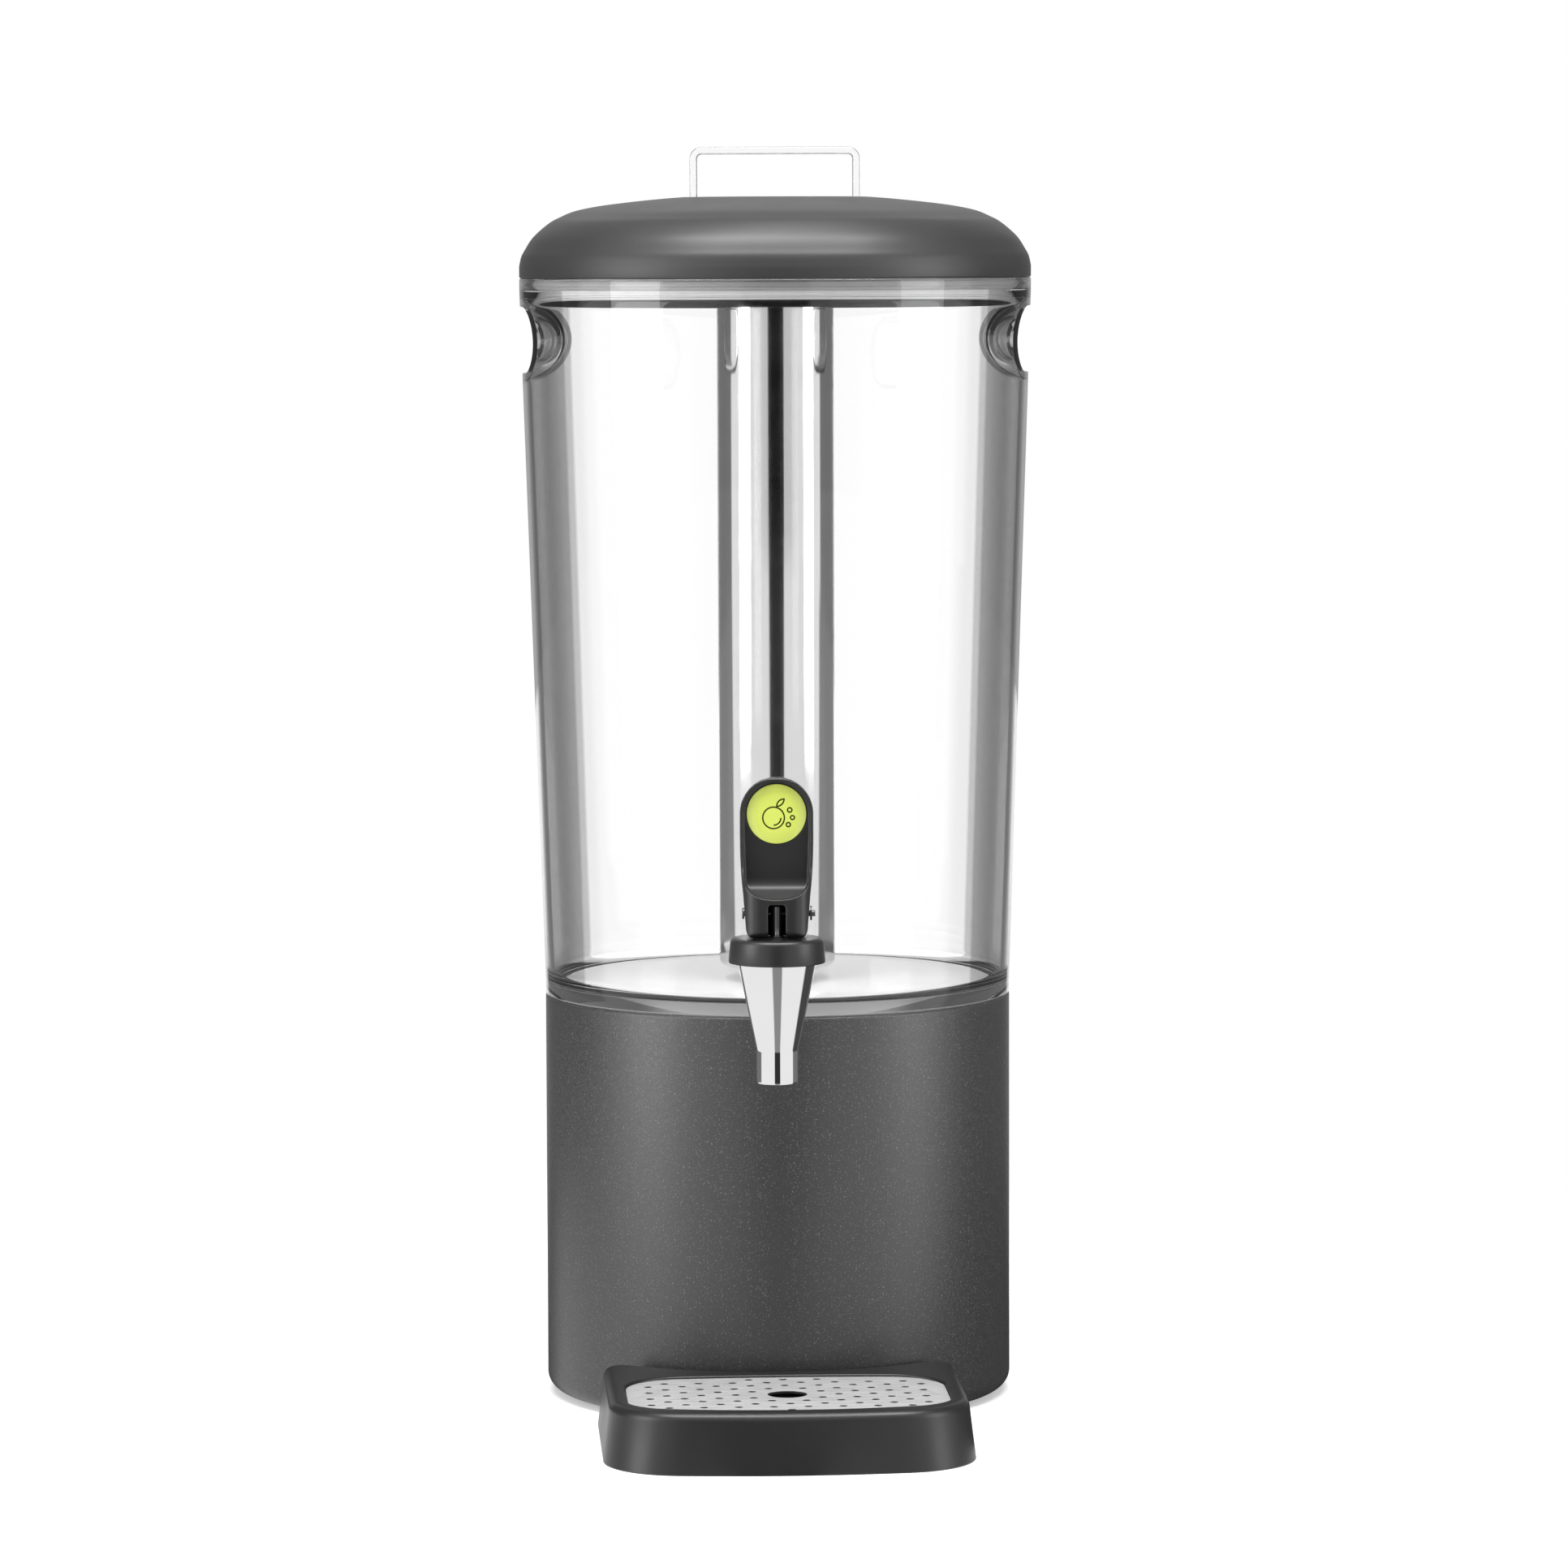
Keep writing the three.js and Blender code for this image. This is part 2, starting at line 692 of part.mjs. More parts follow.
// The lever seen from above: its front corners are rounded, and its sides are left to the front outline
function leverPlan() {
  const half = leverHalfWidth + overrun;
  const cornerX = leverShelfHalfWidth - leverCornerRound;
  const cornerY = -leverFront + leverCornerRound;
  return new THREE.Shape(vectors([
    [half, leverRear],
    [-half, leverRear],
    [-half, cornerY],
    ...arc(-cornerX, cornerY, leverCornerRound, 180, 270).slice(1),
    ...arc(cornerX, cornerY, leverCornerRound, 270, 360).slice(0, -1),
    [half, cornerY],
  ]));
}

// The scoop in the paddle's front: inside the rim, with a lip that smiles across the block
function leverScoop() {
  const half = leverHalfWidth - scoopRim;
  const shelfHalf = leverShelfHalfWidth - scoopRim / 2;
  const front = new THREE.Shape();
  front.moveTo(0, scoopLipHeight);
  front.quadraticCurveTo(shelfHalf, scoopLipHeight, shelfHalf, scoopBendHeight);
  front.lineTo(half, leverShoulderHeight);
  front.lineTo(half, leverCrownHeight);
  front.absarc(0, leverCrownHeight, half, 0, Math.PI);
  front.lineTo(-half, leverShoulderHeight);
  front.lineTo(-shelfHalf, scoopBendHeight);
  front.quadraticCurveTo(-shelfHalf, scoopLipHeight, 0, scoopLipHeight);

  const floor = -paddleFront + scoopDepth;
  const top = leverCrownHeight + leverHalfWidth + overrun;
  const side = new THREE.Shape();
  side.moveTo(-leverFront - overrun, scoopLipHeight - scoopRim);
  side.lineTo(-leverFront, scoopLipHeight - scoopRim / 2);
  side.lineTo(-heelForward, leverShelfHeight + scoopRim);
  side.quadraticCurveTo(floor, leverShelfHeight + scoopRim * 2, floor, scoopBendHeight + scoopRim);
  side.lineTo(floor, top);
  side.lineTo(-leverFront - overrun, top);
  const acrossPaddle = sideSolid(side, -leverHalfWidth, leverHalfWidth);
  return frontSolid(front, -leverFront - overrun, floor).intersect(acrossPaddle);
}

function leverSlot() {
  const reach = Math.hypot(stemRadius, stemTopRise) + slotClearance;
  const outline = new THREE.Shape(vectors([
    [-slotHalfWidth, -heelRadius - overrun],
    [slotHalfWidth, -heelRadius - overrun],
    ...arc(slotHalfWidth - slotRound, reach - slotRound, slotRound, 0, 90),
    ...arc(-slotHalfWidth + slotRound, reach - slotRound, slotRound, 90, 180),
  ]));
  return frontSolid(outline, -leverFront - overrun, reach);
}

function makeLever(lever) {
  const crown = leverCrownHeight + leverHalfWidth;
  const scoopFloor = -paddleFront + scoopDepth;
  const badgeSeat = scoopFloor + badgeRecess;
  const badgeHole = rodAlongY(badgeRadius + runningGap, scoopFloor - overrun, badgeSeat, leverCrownHeight);
  const pinHole = rodAlongX(pinRadius + runningGap, -leverHalfWidth - overrun, leverHalfWidth + overrun);
  const paddle = sideSolid(leverSideOutline(), -leverHalfWidth, leverHalfWidth)
    .intersect(frontSolid(leverFrontOutline(), -leverFront - overrun, leverRear + overrun))
    .intersect(raised(leverPlan(), -heelRadius - overrun, crown + overrun))
    .subtract(leverScoop())
    .subtract(leverSlot())
    .subtract(pinHole)
    .subtract(badgeHole);
  addPiece(lever, 'lever', paddle, materials.blackPlastic);

  const badge = rodAlongY(badgeRadius, badgeSeat - badgeThickness, badgeSeat, leverCrownHeight);
  addPiece(lever, 'lever_badge', badge, materials.limeBadge);

  const sideFace = leverHalfWidthAt(clipRadius) + runningGap;
  const pinEnd = sideFace + clipThickness + pinTail;
  const pin = rodAlongX(pinRadius, -sideFace - pinHeadThickness / 2, pinEnd)
    .add(rodAlongX(pinHeadRadius, -sideFace - pinHeadThickness, -sideFace));
  addPiece(lever, 'lever_pin', pin, materials.chrome);

  const mouth = new THREE.Shape(vectors([
    [-clipOpening / 2, 0],
    [clipOpening / 2, 0],
    [clipOpening / 2, -clipRadius - overrun],
    [-clipOpening / 2, -clipRadius - overrun],
  ]));
  const clip = rodAlongX(clipRadius, sideFace, sideFace + clipThickness)
    .subtract(rodAlongX(pinRadius + runningGap, sideFace - overrun, sideFace + overrun))
    .subtract(sideSolid(mouth, sideFace - overrun, sideFace + overrun));
  addPiece(lever, 'pin_clip', clip, materials.steel);
}

function makeTap() {
  const tap = new THREE.Group();
  tap.position.set(0, -tapReach, tapHeight);
  dispenser.add(tap);
  makeTapBody(tap);
  makeShankFixing(tap);
  makeBonnet(tap);
  makeSpring(tap);
  makeValve(tap);
  const lever = new THREE.Group();
  lever.position.set(0, 0, pinHeight);
  tap.add(lever);
  makeLever(lever);
}

// Lid
function domeSolid(inset, bottom, steps) {
  const radius = containerRimRadius - inset;
  const rise = domeRise - inset;
  const edgeTop = containerTop + lidEdgeHeight;
  const outline = new THREE.SplineCurve(vectors(
    domeRadiusShares.map((share, i) => [share * radius, edgeTop + domeRiseShares[i] * rise]),
  ));
  const dome = outline.getPoints(steps).map((point) => [point.x, point.y]);
  dome[steps][0] = 0;
  return turned([[0, bottom], [radius, bottom], ...dome]);
}

function makeLid() {
  const crown = containerTop + lidEdgeHeight + domeRise;
  const outer = domeSolid(0, containerTop, domeSteps);
  const inner = domeSolid(lidWall, containerTop + lidWall, domeSteps / 2);
  const skirtBottom = containerTop - skirtDepth;
  const grooveBottom = skirtBottom + sealFootRise - runningGap;
  const grooveTop = skirtBottom + sealFootRise + sealHeight + runningGap;
  const grooveRadius = rimBore - sealWall - runningGap * 2;
  const skirt = turned([
    [skirtRadius - skirtWall, skirtBottom],
    [skirtRadius, skirtBottom],
    [skirtRadius, grooveBottom],
    [grooveRadius, grooveBottom],
    [grooveRadius, grooveTop],
    [skirtRadius, grooveTop],
    [skirtRadius, containerTop + lidWall / 2],
    [skirtRadius - skirtWall, containerTop + lidWall / 2],
  ]);
  const opening = ring(0, skirtRadius - skirtWall, skirtBottom, containerTop + lidWall, largeSides);
  const recessCup = ring(0, recessRadius + lidWall, recessUnderside, crown, largeSides).intersect(outer);
  const recess = turned([
    [0, recessFloor],
    [recessRadius, recessFloor],
    [recessRadius, crown - recessEdgeDepth],
    [recessRadius + recessEdge, crown],
    [0, crown],
  ]);
  const bossBottom = recessUnderside - bossDepth;
  const boss = ring(bossRadius - bossWall, bossRadius, bossBottom, recessUnderside + lidWall / 2);
  const holeBottom = recessUnderside - overrun;
  let shell = outer.subtract(inner).subtract(opening).add(skirt).add(recessCup).subtract(recess).add(boss);
  for (const side of [-1, 1]) {
    const hole = ring(0, screwHole, holeBottom, recessFloor + overrun, smallSides);
    shell = shell.subtract(hole.translate([side * screwPlace, 0, 0]));
  }
  addPiece(dispenser, 'lid_shell', shell, materials.blackPlastic);

  const sealBottom = skirtBottom + sealFootRise;
  const sealRadius = rimBore - runningGap;
  const seal = ring(sealRadius - sealWall, sealRadius, sealBottom, sealBottom + sealHeight, largeSides);
  addPiece(dispenser, 'lid_seal', seal, materials.silicone);
}

// Handle: a strip bent along an outline, seen from the front
function makeHandle() {
  const half = handleWidth / 2;
  const innerHalf = half - handleThickness;
  const footEnd = innerHalf - handleFoot;
  const innerRound = handleRound - handleThickness;
  const top = recessFloor + handleHeight;
  const rightHalf = [
    [footEnd, recessFloor + handleThickness],
    [footEnd, recessFloor],
    ...arc(half - handleRound, recessFloor + handleRound, handleRound, -90, 0),
    ...arc(half - handleRound, top - handleRound, handleRound, 0, 90),
  ];
  const rightInside = [
    ...arc(innerHalf - innerRound, top - handleThickness - innerRound, innerRound, 90, 0),
    ...arc(innerHalf - innerRound, recessFloor + handleThickness + innerRound, innerRound, 0, -90),
  ];
  const mirrored = (points) => points.map(([x, y]) => [-x, y]).reverse();
  const outline = new THREE.Shape(vectors([
    ...rightHalf,
    ...mirrored(rightHalf),
    ...mirrored(rightInside),
    ...rightInside,
  ]));
  const holeTop = recessFloor + handleThickness + overrun;
  let strip = frontSolid(outline, -handleDepth / 2, handleDepth / 2);
  for (const side of [-1, 1]) {
    const hole = ring(0, screwHole, recessFloor - overrun, holeTop, smallSides);
    strip = strip.subtract(hole.translate([side * screwPlace, 0, 0]));
  }
  addPiece(dispenser, 'lid_handle', strip, materials.clearPlastic);
}

function makeHandleFixing() {
  const seat = recessFloor + handleThickness;
  const nutTop = recessUnderside;
  const nutBottom = nutTop - handleNutThickness;
  const headRound = screwHeadHeight / 2;
  for (const [word, side] of [['left', -1], ['right', 1]]) {
    const screw = turned([
      [0, nutBottom - screwTip],
      [screwRadius, nutBottom - screwTip],
      [screwRadius, seat],
      [screwHeadRadius, seat],
      [screwHeadRadius, seat + headRound],
      [screwHeadRadius - headRound, seat + screwHeadHeight],
      [0, seat + screwHeadHeight],
    ], smallSides);
    const corner = handleNutAcrossFlats / 2 / Math.cos(Math.PI / 6);
    const hexagon = new THREE.Shape(vectors(arc(0, 0, corner, 90, 390, 5)));
    hexagon.holes.push(new THREE.Path(vectors(arc(0, 0, screwHole, 0, 360, smallSides).slice(1))));
    const nut = raised(hexagon, nutBottom, nutTop);
    const screwMesh = addPiece(dispenser, `handle_screw_${word}`, screw, materials.steel);
    const nutMesh = addPiece(dispenser, `handle_nut_${word}`, nut, materials.steel);
    screwMesh.position.x = side * screwPlace;
    nutMesh.position.x = side * screwPlace;
  }
}

// Ice tube with its collar and gasket
function makeIceTube() {
  const flangeTop = recessUnderside - tubeGasketThickness;
  const tubeTop = flangeTop - collarFlange;
  const tubeBottom = baseTop + containerFloor + tubeFloorGap;
  const footX = tubeRadius - tubeFootRound;
  const footZ = tubeBottom + tubeFootRound;
  const tube = turned([
    [0, tubeBottom],
    ...arc(footX, footZ, tubeFootRound, -90, 0),
    [tubeRadius, tubeTop],
    [tubeBore, tubeTop],
    ...arc(footX, footZ, tubeFootRound - tubeWall, 0, -90, insideSteps),
    [0, tubeBottom + tubeWall],
  ], mediumSides);
  addPiece(dispenser, 'ice_tube', tube, materials.chrome);

  const collar = turned([
    [collarBore, tubeTop - collarDepth],
    [collarRadius, tubeTop - collarDepth],
    [collarRadius, tubeTop],
    [tubeRadius, tubeTop],
    [tubeRadius, flangeTop],
    [collarBore, flangeTop],
  ], mediumSides);
  addPiece(dispenser, 'tube_collar', collar, materials.blackPlastic);

  const gasket = ring(tubeRadius - tubeGasketWall, tubeRadius, flangeTop, recessUnderside);
  addPiece(dispenser, 'tube_gasket', gasket, materials.silicone);
}

// Drip tray, in a group that stands a little to the left and is turned towards the right

// One end of a plan outline, from right to left: a wide arc that runs into two round corners
function roundEnd(half, reach, radius, corner) {
  const centre = reach - radius;
  const cornerX = half - corner;
  const rise = Math.sqrt((radius - corner) ** 2 - cornerX ** 2);
  const turn = THREE.MathUtils.radToDeg(Math.atan2(rise, cornerX));
  return [
    ...arc(cornerX, centre + rise, corner, 0, turn, cornerSteps),
    ...arc(0, centre, radius, turn, 180 - turn, arcSteps * 2).slice(1, -1),
    ...arc(-cornerX, centre + rise, corner, 180 - turn, 180, cornerSteps),
  ];
}

// The same end turned to face forward
function frontEnd(half, reach, radius, corner) {
  return roundEnd(half, reach, radius, corner).map(([x, y]) => [-x, -y]);
}

// The tray's plan outline: a hollow back arc about the group's origin, round ears beside the base,
// straight sides and a round front end
function trayOutline(side, front, frontRadius, back, corner, ear) {
  const earX = side - ear;
  const earY = -Math.sqrt((back + ear) ** 2 - earX ** 2);
  const earAngle = THREE.MathUtils.radToDeg(Math.atan2(-earY, earX));
  return [
    ...arc(earX, earY, ear, 0, 180 - earAngle),
    ...arc(0, 0, back, -earAngle, earAngle - 180, arcSteps * 4).slice(1, -1),
    ...arc(-earX, earY, ear, earAngle, 180),
    ...frontEnd(side, front, frontRadius, corner),
  ];
}

// The grille's plan outline, or one that stands off it all round
function grilleOutline(outset) {
  const half = grilleWidth / 2 + outset;
  const reach = grilleDepth / 2 + outset;
  return [
    ...roundEnd(half, reach, grilleBackRadius + outset, grilleBackCorner + outset),
    ...frontEnd(half, reach, grilleFrontRadius + outset, grilleFrontCorner + outset),
  ];
}

function grilleShape(outset) {
  return new THREE.Shape(vectors(grilleOutline(outset).map(([x, y]) => [x, y - grilleForward])));
}

function trayLevel(height, inset) {
  const taper = trayTaper * Math.min(height / (trayHeight - trayTopRound), 1);
  const outline = trayOutline(
    traySide - taper - inset,
    trayFront - taper - inset,
    trayFrontRadius - taper - inset,
    trayBack + inset,
    trayCorner - inset,
    trayEar - inset,
  );
  return { outline, height };
}

function makeTray() {
  const tray = new THREE.Group();
  tray.position.x = -trayShift;
  tray.rotation.z = trayTurn;
  dispenser.add(tray);

  const roundStart = trayHeight - trayTopRound;
  const levels = [trayLevel(0, 0)];
  for (const [inset, rise] of arc(0, 0, trayTopRound, 0, 90, 3)) {
    levels.push(trayLevel(roundStart + rise, trayTopRound - inset));
  }
  const hollow = [trayLevel(0, trayWall), trayLevel(trayHeight - trayWall, trayWall)];
  hollow[0].height = -overrun;

  const plateTop = trayHeight - grilleSink;
  const plateBottom = plateTop - grilleThickness;
  const ledge = plateBottom - runningGap;
  const well = raised(grilleShape(runningGap), ledge, trayHeight + overrun);
  const basin = raised(grilleShape(-basinMargin), basinFloorHeight + trayWall, trayHeight);
  const tub = raised(grilleShape(trayWall), basinFloorHeight, trayHeight);
  const underside = lofted(hollow).subtract(tub);
  const body = lofted(levels).subtract(underside).subtract(well).subtract(basin);
  addPiece(tray, 'tray_body', body, materials.blackPlastic);
  makeGrille(tray, plateBottom, plateTop);
}

// Whether a place lies inside an outline: a line from it to the right crosses an odd number of edges
function liesInside(x, y, outline) {
  let inside = false;
  outline.forEach(([fromX, fromY], i) => {
    const [toX, toY] = outline[(i + 1) % outline.length];
    const crosses = fromY > y !== toY > y;
    if (crosses && x < fromX + ((y - fromY) / (toY - fromY)) * (toX - fromX)) inside = !inside;
  });
  return inside;
}

// The grille's holes stand in columns half a diagonal pitch apart, each column shifted against the
// next by half a pitch. Columns are counted from the middle one, and rows from the plate's middle.
function makeGrille(tray, bottom, top) {
  const plate = grilleShape(0);
  const limit = grilleOutline(-holeMargin);
  const columnPitch = holePitch / 2;
  const columns = Math.floor(grilleWidth / 2 / columnPitch);
  const rows = Math.floor(grilleDepth / 2 / holePitch);
  for (let column = -columns; column <= columns; column += 1) {
    const shift = column % 2 === 0 ? holePitch / 2 : 0;
    for (let row = -rows - 1; row <= rows; row += 1) {
      const x = column * columnPitch;
      const y = row * holePitch + shift;
      const clearOfDrain = Math.hypot(x, y) > drainRadius + holeMargin / 2;
      if (liesInside(x, y, limit) && clearOfDrain) {
        const hole = arc(x, y - grilleForward, holeRadius, 0, 360, holeSides).slice(1);
        plate.holes.push(new THREE.Path(vectors(hole)));
      }
    }
  }
  const drain = arc(0, -grilleForward, drainRadius, 0, 360, drainSides).slice(1);
  plate.holes.push(new THREE.Path(vectors(drain)));
  addPiece(tray, 'tray_grille', raised(plate, bottom, top), materials.steel);
}

makeBase();
makeContainer();
makeTap();
makeLid();
makeHandle();
makeHandleFixing();
makeIceTube();
makeTray();

export default dispenser;
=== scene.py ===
"""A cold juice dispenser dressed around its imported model, in a plain white studio.

The camera looks along +Y at the tap. Shapes are drawn in millimetres, at the model's own sizes,
and each mesh is brought to metres when its piece is finished.
"""
import math

import bmesh
import bpy
from mathutils import Matrix, Vector


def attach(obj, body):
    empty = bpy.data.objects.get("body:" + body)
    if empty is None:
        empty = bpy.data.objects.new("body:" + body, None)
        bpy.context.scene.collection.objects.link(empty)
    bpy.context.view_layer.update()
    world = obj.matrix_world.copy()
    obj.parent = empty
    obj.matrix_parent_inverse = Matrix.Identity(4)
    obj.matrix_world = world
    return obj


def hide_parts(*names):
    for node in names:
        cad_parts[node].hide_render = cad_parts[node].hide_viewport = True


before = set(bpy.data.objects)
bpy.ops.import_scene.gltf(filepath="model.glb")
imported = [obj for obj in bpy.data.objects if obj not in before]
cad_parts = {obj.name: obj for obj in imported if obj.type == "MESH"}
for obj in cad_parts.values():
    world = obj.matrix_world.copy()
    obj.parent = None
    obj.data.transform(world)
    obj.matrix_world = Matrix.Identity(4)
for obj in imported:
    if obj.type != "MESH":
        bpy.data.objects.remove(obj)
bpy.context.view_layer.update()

# One millimetre, and how finely shapes are cut
MM = 0.001
SIDES = 144
SMALL_SIDES = 64
EDGE_STEPS = 3
LIP_STEPS = 4
ARC_STEPS = 6
ROUND_STEPS = 8
BEND_STEPS = 12
SHARP_ANGLE = math.radians(38)
MERGE = 0.0005
OVERCUT = 2

# Small rounds and gaps that many pieces share
HAIR_ROUND = 0.3
FINE_ROUND = 0.4
SOFT_ROUND = 0.5
PLAY = 0.3

# Base
BASE_RADIUS = 100
BASE_TOP = 173
BASE_WALL = 2
BASE_FOOT_ROUND = 7
BASE_RIM_ROUND = 1.5
BASE_LIP_WIDTH = 8
PAD_RADIUS = 88
PAD_THICKNESS = 1.5

# Container
CONTAINER_TOP = 480
RIM_RADIUS = 109.5
CONTAINER_WALL = 3.5
CONTAINER_FLOOR = 178
FLOOR_ROUND = 6
TAPER_START = 179.4
TAPER_END = 475
RIM_BORE = 104.5
RIM_BLEND = 3
EDGE_ROUND = 0.8
SPIGOT_RADIUS = 91.4
SPIGOT_BORE = 87.4
SPIGOT_BOTTOM = 165
FLAT_ENOUGH = 0.9
PLAIN_WALL_END = 430
FINE_WALL_START = 435

# Hand grips
GRIP_DEPTH = 18
GRIP_HEIGHT = 28.7
GRIP_LENGTH = 76
GRIP_LEVEL = 453.7
GRIP_CENTRE = 110
GRIP_MARGIN = 0.4

# Tap
TAP_HEIGHT = 193
TAP_REACH = 150
SEAT_FACE = TAP_REACH - 99.34
SEAT_BACK = TAP_REACH - 95.94
SEAT_RADIUS = 15
SEAT_RELIEF = 13.5
SHANK_HOLE = 7.5
OUTLET_RADIUS = 8.5
OUTLET_BORE = 6.5
OUTLET_TIP = -41
OUTLET_LIP = 1.2
CONE_BOTTOM = -27.3
CONE_TOP = 8.3
CONE_TOP_RADIUS = 16.1
# Points beside the cone's lower corner that keep its shading crisp: how far out and up
CONE_EASE = ((0, -0.8), (0, -0.2), (0.1, 0.4), (0.23, 1))
NECK_RADIUS = 14.5
NECK_TOP = 14.5
NECK_BORE = 12.5
VALVE_SEAT = -25
CHAMBER = 5
SHANK_RADIUS = 7.5
THREAD_RADIUS = 7
SHANK_BORE = 4.5
FLANGE_RADIUS = 13
FLANGE_THICKNESS = 3
GASKET_RADIUS = 12.5
FRONT_GASKET = 2
REAR_GASKET = 1.5
SHANK_TIP = 63.96
BONNET_BOTTOM = 8.6
BONNET_TOP = 18.9
BONNET_RADIUS = 19.85
BONNET_TOP_RADIUS = 19.2
BONNET_ROUND = 2.2
BONNET_DRAFT = 5
BONNET_PLATE = 3.3
STEM_RADIUS = 2.65
STEM_BOTTOM = -21
STEM_TOP = 32.2
STEM_COLLAR = -16.7
STEM_COLLAR_RADIUS = 6.4
STEM_COLLAR_THICKNESS = 1.2
STEM_CHAMFER = 0.55

# Lever, from its cross pin
PIN_HEIGHT = 28.8
PIN_LEVEL = TAP_HEIGHT + PIN_HEIGHT
PIN_RADIUS = 1.25
PIN_HEAD_RADIUS = 2.3
PIN_LEFT = -14.2
PIN_RIGHT = 15.7
PIN_HEAD = 0.9
HEEL_RADIUS = 9.6
HEEL_FORWARD = 7
LEVER_FRONT = 14
LEVER_REAR = 9
LEVER_REAR_ROUND = 3
SOLE_HALF = 8.2
FOOT_HALF = 12.7
FOOT_HEIGHT = -4
SHELF_HALF = 13.7
SHELF_HEIGHT = 8.3
LEVER_HALF = 15
SHOULDER_HEIGHT = 33
CROWN_HEIGHT = 41.1
LEVER_CORNER = 7
PADDLE_FRONT = 6
PADDLE_BACK = 0.4
PADDLE_ROUND = 1.6
SCOOP_RIM = 1.4
SCOOP_DEPTH = 2.6
LIP_HEIGHT = 6.8
BEND_HEIGHT = 15
BACK_BEND = 5.6
SLOT_HALF = 3.6
SLOT_ROUND = 1.4
SLOT_REACH = 4.66
LEVER_VOXEL = 0.3
LEVER_SMOOTHING = 5
BADGE_RADIUS = 12.2
BADGE_FRONT = -4.1
BADGE_BACK = -2.9
BADGE_DOME = 0.25
# Where the badge's slightly domed face has points between its edge and its middle
BADGE_STEPS = (0.6, 0.3)
BADGE_EDGE_ANGLE = -70

# Lid
LID_WALL = 2.5
LID_EDGE = 485
DOME_RISE = 30.2
SKIRT_BOTTOM = 472
SKIRT_RADIUS = 103.8
SKIRT_BORE = 101.3
GROOVE_RADIUS = 102.6
SEAL_BOTTOM = 472.9
SEAL_TOP = 479.5
SEAL_RADIUS = 104.2
SEAL_BORE = 102.9
SEAL_RIBS = 3
RIB_RADIUS = 0.6
RIB_DEPTH = 0.7
RECESS_RADIUS = 38.5
RECESS_FLOOR = 505.5
RECESS_UNDER = 503
RECESS_ROUND = 1.4
BRIM_RISE = 0.1
BRIM_MARGIN = 0.6
BRIM_ANGLE = 95
BOSS_RADIUS = 20.2
BOSS_BORE = 17.5
BOSS_BOTTOM = 486
DOME_RADIUS_SHARES = (1, 0.992, 0.979, 0.9452, 0.8877, 0.8429, 0.7662, 0.611, 0.338, 0)
DOME_RISE_SHARES = (0, 0.132, 0.225, 0.411, 0.596, 0.689, 0.795, 0.887, 0.977, 1)

# Handle and its screws
HANDLE_HALF = 36.25
HANDLE_DEPTH = 18
HANDLE_TOP = 535.6
HANDLE_THICKNESS = 3
HANDLE_ROUND = 5
HANDLE_FOOT = 10
HANDLE_EDGE = 0.5
SCREW_PLACE = 28.4
SCREW_RADIUS = 1.5
SCREW_TIP = 499.6
SCREW_SEAT = 508.5
SCREW_HEAD_RADIUS = 2.8
SCREW_HEAD = 1.8
SCREW_HEAD_ROUND = 0.9
SCREW_SOCKET = 1.4

# Ice tube and its collar
TUBE_RADIUS = 25
TUBE_WALL = 1
TUBE_BOTTOM = 184
TUBE_TOP = 500.5
TUBE_FOOT_ROUND = 3
COLLAR_RADIUS = 23.7
COLLAR_BORE = 20.5
COLLAR_DEPTH = 15.5
COLLAR_TOP = 502

# Drip tray, in its own frame, which stands a little to the left and is turned to the right
TRAY_PLACE = Matrix.Translation((-4.75, 0, 0)) @ Matrix.Rotation(math.radians(3.1), 4, "Z")
TRAY_TOP = 25
TRAY_SIDE = 76.15
TRAY_FRONT = 208.45
TRAY_FRONT_RADIUS = 360
TRAY_BACK = 103.5
TRAY_TAPER = 2.4
TRAY_CORNER = 33.3
TRAY_EAR = 8
TRAY_ROUND = 4
TRAY_WALL = 3
TUB_BOTTOM = 3
BASIN_MARGIN = 3.2
BASIN_FLOOR = 6
BASIN_ROUND = 2
BASIN_CHAMFER = 0.6
WELL_GAP = 0.3
WELL_ROUND = 1.1
LEDGE_HEIGHT = 22.5
GRILLE_FORWARD = 155.4
GRILLE_HALF_WIDTH = 66
GRILLE_HALF_DEPTH = 40.5
GRILLE_BACK_RADIUS = 600
GRILLE_BACK_CORNER = 24.5
GRILLE_FRONT_RADIUS = 228
GRILLE_FRONT_CORNER = 20.5
GRILLE_BOTTOM = 22.8
GRILLE_THICKNESS = 1.2
GRILLE_EDGE = 0.25
HOLE_PITCH = 14.142
HOLE_RADIUS = 1.6
HOLE_MARGIN = 4.7
HOLE_SIDES = 18
DRAIN_RADIUS = 8
DRAIN_SIDES = 64


# Shader arithmetic
class Value:
    """One output of a node tree, with the arithmetic that the finishes use."""

    def __init__(self, paint, output):
        self.paint = paint
        self.output = output

    def math(self, operation, *others):
        return self.paint.node("ShaderNodeMath", {"operation": operation}, [self, *others])

    def __add__(self, other):
        return self.math("ADD", other)

    __radd__ = __add__

    def __mul__(self, other):
        return self.math("MULTIPLY", other)

    __rmul__ = __mul__

    def __sub__(self, other):
        return self.math("SUBTRACT", other)

    def __rsub__(self, other):
        return self.paint.node("ShaderNodeMath", {"operation": "SUBTRACT"}, [other, self])

    def __lt__(self, other):
        return self.math("LESS_THAN", other)

    def __gt__(self, other):
        return self.math("GREATER_THAN", other)

    def __abs__(self):
        return self.math("ABSOLUTE")

    def least(self, other):
        return self.math("MINIMUM", other)

    def most(self, other):
        return self.math("MAXIMUM", other)


